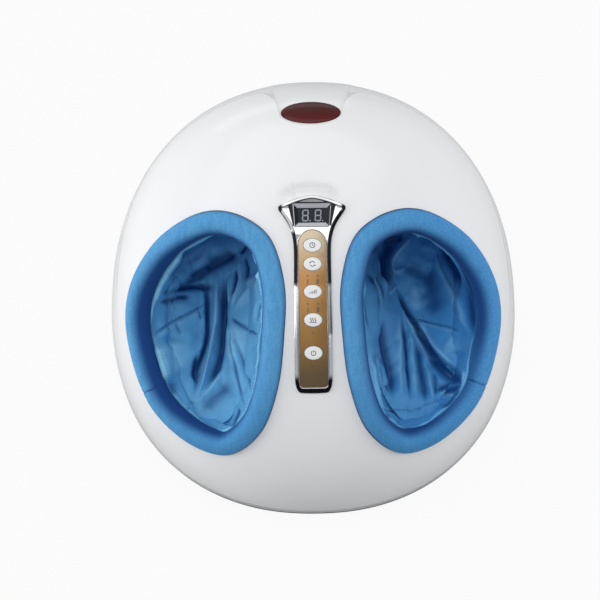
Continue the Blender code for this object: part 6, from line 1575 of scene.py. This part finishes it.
def addButton(name, y):
    node = nodes[f"{name}_button"]
    lowest = min((Matrix.Rotation(-spineAngle(y), 4, "X") @ (v.co - onStrip(y, plateHeight))).z
                 for v in node.data.vertices)
    halfW, halfL = strip["buttonWidth"] / 2, strip["buttonLength"] / 2
    under = -(panel["core"] + plateHeight) * math.cos(spineAngle(y)) - 0.6 * mm
    low = under - button["flangeThickness"]
    flange = button["flange"]
    levels = [(button["stem"], button["stem"], lowest), (button["stem"], button["stem"], low),
              (halfW + flange, halfL + flange, low), (halfW + flange, halfL + flange, under),
              (halfW, halfL, under), (halfW, halfL, -0.2 * mm),
              (halfW, halfL, button["rise"] - button["crown"])]
    levels += [(halfW * share, halfL * share, float(buttonFace(share)))
               for share in (0.995, 0.98, 0.955, 0.92, 0.87, 0.80, 0.70, 0.55, 0.38, 0.2, 0.08)]
    mesh = capped(f"{name}Button", ovalRings(levels, 64))
    mesh = smooth(setOnStrip(mesh, y, plateHeight), 40)
    piece = link(f"{name}ButtonCap", mesh, "white_button", f"{name}_button_body")
    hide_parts(f"{name}_button")
    sign = setOnStrip(strokesMesh(signs[name]), y, plateHeight)
    link(f"{name}ButtonSign", sign, "white_button", f"{name}_button_body", darkInk)


def ovalRings(levels, steps):
    # an oval for each half width, half length and height
    angles = symmetricTurns(steps)
    return np.array([np.column_stack([a * np.cos(angles), b * np.sin(angles), np.full(steps, z)])
                     for a, b, z in levels])


def arc(x, y, radius, start, end, steps=24):
    angles = np.radians(np.linspace(start, end, steps))
    return [(x + radius * math.cos(a), y + radius * math.sin(a)) for a in angles]


def wave(x, y, size, length, steps=16):
    return [(x + size * math.sin(2 * math.pi * i / (steps - 1)), y - length / 2 + length * i / (steps - 1))
            for i in range(steps)]


signs = {
    "timer": [arc(0, 0, 2.3, 90, 450, 40), [(0, 1.4), (0, 0), (1.1, -0.5)]],
    "mode": [arc(0, 0, 2.2, 25, 155), arc(0, 0, 2.2, 205, 335), [(-3.0, 1.6), (-2.0, 0.8), (-1.1, 1.8)],
             [(3.0, -1.6), (2.0, -0.8), (1.1, -1.8)]],
    "intensity": [[(-3.0, -1.8), (-3.0, -0.9)], [(-1.5, -1.8), (-1.5, -0.2)], [(0, -1.8), (0, 0.5)],
                  [(1.5, -1.8), (1.5, 1.2)], [(3.0, -1.8), (3.0, 1.9)]],
    "heat": [wave(-2.0, 0.2, 0.5, 3.6), wave(0, 0.2, 0.5, 3.6), wave(2.0, 0.2, 0.5, 3.6),
             [(-3.2, -2.4), (3.2, -2.4)]],
    "power": [arc(0, 0, 2.1, 122, 418, 36), [(0, 2.7), (0, 0.5)]],
}


def strokesMesh(lines):
    # thin raised strokes that follow the button's domed top
    points, faces = [], []
    halfW, halfL = strip["buttonWidth"] / 2, strip["buttonLength"] / 2
    raised, sunk = button["signHeight"], button["signDepth"]
    for line in lines:
        path = np.array(line, float) * mm
        tangent = unit(np.gradient(path, axis=0) + 1e-12)
        across = np.column_stack([-tangent[:, 1], tangent[:, 0]]) * button["stroke"] / 2
        start = len(points)
        for spot, off in zip(path, across):
            left, right = spot - off, spot + off
            for (x, y), height in ((left, -sunk), (left, raised), (right, raised), (right, -sunk)):
                points.append((x, y, float(buttonFace(math.hypot(x / halfW, y / halfL))) + height))
        for i in range(len(path) - 1):
            for k in range(4):
                a, b = start + i * 4 + k, start + i * 4 + (k + 1) % 4
                faces.append([a, b, b + 4, a + 4])
        faces.append([start + k for k in range(4)])
        faces.append([start + (len(path) - 1) * 4 + k for k in range(4)])
    return outward(meshOf("sign", points, faces))


for name, y in buttonPlaces.items():
    addButton(name, y)
print("buttons and their signs")


# Lens: a smooth red oval in its bright rim

def addLens():
    halfW, halfL = lens["width"] / 2, lens["length"] / 2
    turn = Matrix.Rotation(spineAngle(lens["y"]), 3, "X")
    origin = onStrip(lens["y"], -form["creaseStep"])
    rows = []

    def fall(x, y):
        # the dome's fall across the lens, so that the rim stays level with the shell
        spot = origin + turn @ Vector((x, y, 0))
        top = float(domeHeight(spot.x, spot.y))
        return (top - form["creaseStep"] - spot.z) * math.cos(spineAngle(lens["y"]))

    for share, height in ((1.0, -lens["skirt"]), (1.0, 0.0), (0.992, 0.16), (0.975, 0.42), (0.95, 0.62),
                          (0.92, 0.78), (0.86, 1.0), (0.76, 1.15), (0.62, 1.30), (0.45, 1.42), (0.28, 1.48),
                          (0.12, 1.5)):
        ring = []
        for a in symmetricTurns(96):
            x, y = halfW * share * math.cos(a), halfL * share * math.sin(a)
            z = height if height < 0 else lens["rise"] + height * mm * lens["bulge"] + fall(x, y)
            ring.append((x, y, z))
        rows.append(ring)
    mesh = capped("lens", np.array(rows))
    mesh = smooth(transformed(mesh, origin, spineAngle(lens["y"])), 40)
    piece = link("lensGlass", mesh, "red_lens")
    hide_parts("indicator_lens")


addLens()


# Small parts that repeat, grown by geometry nodes into one plain mesh per kind

class Web(Paint):
    # the same wrapper over a tree of geometry nodes, with named sizes for its inputs
    def __init__(self, name, **sizes):
        self.tree = bpy.data.node_groups.new(name, "GeometryNodeTree")
        self.sizes = sizes
        self.keys = {}
        face = self.tree.interface
        face.new_socket("Geometry", in_out="OUTPUT", socket_type="NodeSocketGeometry")
        face.new_socket("Geometry", in_out="INPUT", socket_type="NodeSocketGeometry")
        for key, value in sizes.items():
            kind = "NodeSocketInt" if isinstance(value, int) else "NodeSocketFloat"
            self.keys[key] = face.new_socket(key, in_out="INPUT", socket_type=kind).identifier
        self.source = self.tree.nodes.new("NodeGroupInput")

    def size(self, key):
        return Term(self, self.source.outputs[key])

    def start(self):
        return Term(self, self.source.outputs["Geometry"])

    def place3(self, x=0.0, y=0.0, z=0.0):
        return self.node("ShaderNodeCombineXYZ", {0: x, 1: y, 2: z})

    def moved(self, shape, **places):
        return self.node("GeometryNodeTransform", {"Geometry": shape, **places})

    def join(self, *shapes):
        made = self.tree.nodes.new("GeometryNodeJoinGeometry")
        for shape in shapes:
            self.tree.links.new(shape.socket, made.inputs[0])
        return Term(self, made.outputs[0])

    def carve(self, shape, *tools):
        made = self.tree.nodes.new("GeometryNodeMeshBoolean")
        made.operation = "DIFFERENCE"
        self.tree.links.new(shape.socket, made.inputs["Mesh 1"])
        for tool in tools:
            self.tree.links.new(tool.socket, made.inputs["Mesh 2"])
        return Term(self, made.outputs["Mesh"])

    def drum(self, steps, radius, depth):
        return self.node("GeometryNodeMeshCylinder", {"Vertices": steps, "Radius": radius, "Depth": depth},
                         out="Mesh")

    def cone(self, steps, top, bottom, depth):
        return self.node("GeometryNodeMeshCone", {"Vertices": steps, "Radius Top": top,
                                                  "Radius Bottom": bottom, "Depth": depth}, out="Mesh")

    def spread(self, points, piece, **more):
        return self.node("GeometryNodeInstanceOnPoints", {"Points": points, "Instance": piece, **more})

    def grow(self, name, shape, paint, points=(), edges=()):
        real = self.node("GeometryNodeRealizeInstances", {"Geometry": shape})
        done = self.node("GeometryNodeSetMaterial", {"Geometry": real, "Material": paint})
        end = self.tree.nodes.new("NodeGroupOutput")
        self.tree.links.new(done.socket, end.inputs[0])
        start = bpy.data.meshes.new(name)
        start.from_pydata([tuple(p) for p in points], list(edges), [])
        host = placed(name, start)
        growth = host.modifiers.new("grow", "NODES")
        growth.node_group = self.tree
        for key, value in self.sizes.items():
            growth[self.keys[key]] = value
        scene = bpy.context.evaluated_depsgraph_get()
        mesh = bpy.data.meshes.new_from_object(host.evaluated_get(scene))
        bpy.data.objects.remove(host)
        mesh.materials.clear()
        return mesh


def addFeet():
    # four round rubber feet with a softened edge and a cup in the sole
    sizes = dict(Across=240.0 * mm, Along=240.0 * mm, Radius=11.0 * mm, Height=7.5 * mm, Round=1.5 * mm,
                 Cup=3.2 * mm, Steps=64)
    web = Web("rubberFeet", **sizes)
    places = web.node("GeometryNodeMeshGrid", {"Size X": web.size("Across"), "Size Y": web.size("Along"),
                                               "Vertices X": 2, "Vertices Y": 2}, out="Mesh")
    steps, radius, height, edge = (web.size(key) for key in ("Steps", "Radius", "Height", "Round"))
    body = web.drum(steps, radius, height - edge)
    body = web.moved(body, Translation=web.place3(0.0, 0.0, (height + edge) * 0.5))
    foot = web.cone(steps, radius, radius - edge, edge)
    ball = web.node("GeometryNodeMeshUVSphere", {"Segments": 32, "Rings": 16, "Radius": web.size("Cup")},
                    out="Mesh")
    ball = web.moved(ball, Scale=(1.0, 1.0, 0.4))
    pad = web.join(body, web.carve(foot, ball))
    mesh = smooth(web.grow("feet", web.spread(places, pad), paints["black_rubber"]), 30)
    feet = link("feetRubber", mesh, "black_rubber")
    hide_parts(*[f"rubber_foot_{i}" for i in (1, 2, 3, 4)])


def addScrews():
    # cross-headed screws seen up their bores from below
    sizes = dict(Head=3.3 * mm, Deep=2.6 * mm, Shank=1.25 * mm, Thread=1.58 * mm, Length=21.5 * mm,
                 Pitch=1.25 * mm, Turns=16, Slot=3.8 * mm, SlotWidth=0.8 * mm, SlotDepth=1.5 * mm, Steps=40)
    web = Web("baseScrews", **sizes)
    deep, shankRadius, pitch, slot, slotWidth = (
        web.size(key) for key in ("Deep", "Shank", "Pitch", "Slot", "SlotWidth"))
    head = web.drum(web.size("Steps"), web.size("Head"), deep)
    head = web.moved(head, Translation=web.place3(0.0, 0.0, deep * 0.5))
    bars = [web.node("GeometryNodeMeshCube", {"Size": web.place3(*size, web.size("SlotDepth"))}, out="Mesh")
            for size in ((slot, slotWidth), (slotWidth, slot))]
    head = web.carve(head, *bars)
    shank = web.cone(24, shankRadius * 0.5, shankRadius, web.size("Length"))
    shank = web.moved(shank, Translation=web.place3(0.0, 0.0, deep))
    ridge = web.cone(24, web.size("Thread"), shankRadius * 0.9, pitch * 0.6)
    line = web.node("GeometryNodeMeshLine", {"Count": web.size("Turns"),
                                             "Start Location": web.place3(0.0, 0.0, deep + pitch),
                                             "Offset": web.place3(0.0, 0.0, pitch)})
    screw = web.join(head, shank, web.spread(line, ridge))
    names = [f"base_screw_{i}" for i in range(1, 7)]
    points = []
    for name in names:
        low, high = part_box(name)
        points.append(((low.x + high.x) / 2, (low.y + high.y) / 2, low.z))
    mesh = smooth(web.grow("screws", web.spread(web.start(), screw), paints["steel"], points), 30)
    screws = link("baseScrewsSteel", mesh, "steel")
    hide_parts(*names)


def addStitches():
    # running stitches round each liner's hem and along the seam across it
    sizes = dict(Pitch=3.3 * mm, Stitch=2.1 * mm, Thick=0.26 * mm)
    hemRow, hemUp, seamUp, besideSeam = 4, 0.10, 0.15, (0.0, -1.6)
    thread = plainPaint("blueThread", (0.035, 0.190, 0.450), 0.55, 3000.0, 0.03 * mm)
    for name, _ in sides:
        moved, normal, spots = linerGrids[name]
        steps = moved.shape[1]
        hem = moved[hemRow] + normal[hemRow] * hemUp * mm
        points = [tuple(p) for p in hem]
        edges = [(i, (i + 1) % steps) for i in range(steps)]
        path = next(line for label, _, _, _, line in folds[name] if label == "seam")
        flat, ways = moved.reshape(-1, 3), normal.reshape(-1, 3)
        seam = []
        for spot in smoothLine(np.array(path, float) + besideSeam):
            near = int(np.argmin(np.linalg.norm(spots - spot, axis=1)))
            seam.append(tuple(flat[near] + ways[near] * seamUp * mm))
        first = len(points)
        points += seam
        edges += [(first + i, first + i + 1) for i in range(len(seam) - 1)]
        web = Web(f"{name}Stitches", **sizes)
        curve = web.node("GeometryNodeMeshToCurve", {0: web.start()})
        spread = web.node("GeometryNodeCurveToPoints", {"Curve": curve, "Length": web.size("Pitch")},
                          mode="LENGTH")
        turn = Term(web, spread.socket.node.outputs["Rotation"])
        bead = web.node("GeometryNodeMeshUVSphere", {"Segments": 10, "Rings": 6, "Radius": 1.0}, out="Mesh")
        thick = web.size("Thick")
        bead = web.moved(bead, Scale=web.place3(thick, thick, web.size("Stitch") * 0.5))
        mesh = web.grow(f"{name}Stitches", web.spread(spread, bead, Rotation=turn), thread, points, edges)
        mesh.shade_smooth()
        link(f"{name}LinerStitches", mesh, "blue_satin", paint=thread)


def addBaseTrim():
    # the dark tray's visible side, rounder than the solid's
    sizes = dict(steps=720, gap=0.1 * mm)
    angles = turnsOf(sizes["steps"])
    profile = ((12.2, 3.9), (8.3, 4.9), (5.0, 5.85), (4.2, 6.2), (3.5, 7.1), (1.7, 10.9), (1.2, 12.0),
               (1.1, 13.0), (1.1, 19.3), (1.4, 19.6), (2.6, 19.6), (2.6, 13.0), (5.6, 8.2), (12.2, 5.6))
    rings = []
    for inset, height in profile:
        far = reach(angles, 1.0, inset * mm - sizes["gap"])
        rings.append(np.column_stack([far * np.cos(angles), form["gridY"] + far * np.sin(angles),
                                      np.full(len(angles), height * mm)]))
    mesh = smooth(outward(skin("baseTrim", np.array(rings), rings=True)), 40)
    link("baseTrimPlastic", mesh, "dark_plastic")


addFeet()
addScrews()
addStitches()
addBaseTrim()
print("feet, screws, stitches and base trim")


# Camera, floor and lamps

def addCamera():
    sizes = dict(azimuth=0.0, elevation=68.0, distance=1.5, lens=90.94, right=-0.01277, up=-0.01425,
                 roll=-1.9)
    tilt = math.radians(sizes["elevation"])
    turn = math.radians(sizes["azimuth"])
    back = Vector((math.sin(turn) * math.cos(tilt), -math.cos(turn) * math.cos(tilt), math.sin(tilt)))
    data = bpy.data.cameras.new("camera")
    data.lens = sizes["lens"]
    data.sensor_width = 36.0
    camera = placed("camera", data)
    look = (-back).to_track_quat("-Z", "Y")
    right, up = look @ Vector((1, 0, 0)), look @ Vector((0, 1, 0))
    target = Vector((0, 0, 0.1))
    camera.location = target + back * sizes["distance"]
    aim = target + right * sizes["right"] + up * sizes["up"]
    look = (aim - camera.location).to_track_quat("-Z", "Y")
    camera.rotation_mode = "QUATERNION"
    camera.rotation_quaternion = look @ Matrix.Rotation(math.radians(sizes["roll"]), 4, "Z").to_quaternion()
    data.clip_start, data.clip_end = 0.05, 20.0
    bpy.context.scene.camera = camera


def addLamp(name, place, target, width, height, power):
    data = bpy.data.lights.new(name, "AREA")
    data.shape = "RECTANGLE"
    data.size, data.size_y = width, height
    data.energy = power
    lamp = placed(name, data)
    lamp.location = place
    lamp.rotation_mode = "QUATERNION"
    lamp.rotation_quaternion = (Vector(target) - Vector(place)).to_track_quat("-Z", "Y")


def addWorld(level):
    world = bpy.data.worlds.new("studio")
    bpy.context.scene.world = world
    world.use_nodes = True
    tree = world.node_tree
    ground = tree.nodes["Background"]
    ground.inputs["Color"].default_value = (0.97, 0.985, 1.0, 1.0)
    ground.inputs["Strength"].default_value = level
    seen = tree.nodes.new("ShaderNodeBackground")
    seen.inputs["Color"].default_value = (1, 1, 1, 1)
    seen.inputs["Strength"].default_value = 1.0
    path = tree.nodes.new("ShaderNodeLightPath")
    share = tree.nodes.new("ShaderNodeMixShader")
    tree.links.new(path.outputs["Is Camera Ray"], share.inputs[0])
    tree.links.new(ground.outputs[0], share.inputs[1])
    tree.links.new(seen.outputs[0], share.inputs[2])
    tree.links.new(share.outputs[0], tree.nodes["World Output"].inputs["Surface"])


def addFloor(size):
    # to the camera the floor is nearly plain white and takes a faint shade; to the object it is grey
    paint = Paint("floor", Roughness=0.9, Specular_IOR_Level=0.0)
    place = paint.place()
    grain = paint.noise(place, 300.0, 3.0)
    paint.set(Base_Color=paint.mix(grain, (0.54, 0.54, 0.54), (0.57, 0.57, 0.57)))
    paint.bump(grain, 0.02 * mm)
    glow = paint.tree.nodes.new("ShaderNodeEmission")
    glow.inputs["Strength"].default_value = 1.0
    share = paint.tree.nodes.new("ShaderNodeMixShader")
    path = paint.tree.nodes.new("ShaderNodeLightPath")
    view = Term(paint, path.outputs["Is Camera Ray"]) * 0.93
    paint.feed(share.inputs[0], view)
    paint.tree.links.new(paint.surface.outputs[0], share.inputs[1])
    paint.tree.links.new(glow.outputs[0], share.inputs[2])
    output = next(n for n in paint.tree.nodes if n.type == "OUTPUT_MATERIAL")
    paint.tree.links.new(share.outputs[0], output.inputs["Surface"])
    half = size / 2
    corners = [(-half, -half, 0), (half, -half, 0), (half, half, 0), (-half, half, 0)]
    mesh = meshOf("floor", corners, [(0, 1, 2, 3)])
    mesh.materials.append(paint.material)
    floor = placed("floor", mesh)


addCamera()
addFloor(6.0)
addWorld(0.43)
addLamp("overhead", (-0.50, 0.30, 2.45), (0, 0.05, 0.1), 3.2, 2.6, 28.5)
addLamp("leftStrip", (-1.6, -0.2, 0.5), (0, 0, 0.1), 0.5, 1.4, 13.0)
addLamp("backStrip", (-0.4, 1.9, 0.75), (0, 0.1, 0.15), 1.8, 0.35, 2.2)
addLamp("rightStrip", (1.65, -0.1, 0.6), (0, 0, 0.1), 0.4, 1.4, 10.5)
bpy.context.scene.view_settings.view_transform = "Standard"
print("camera and lamps set")
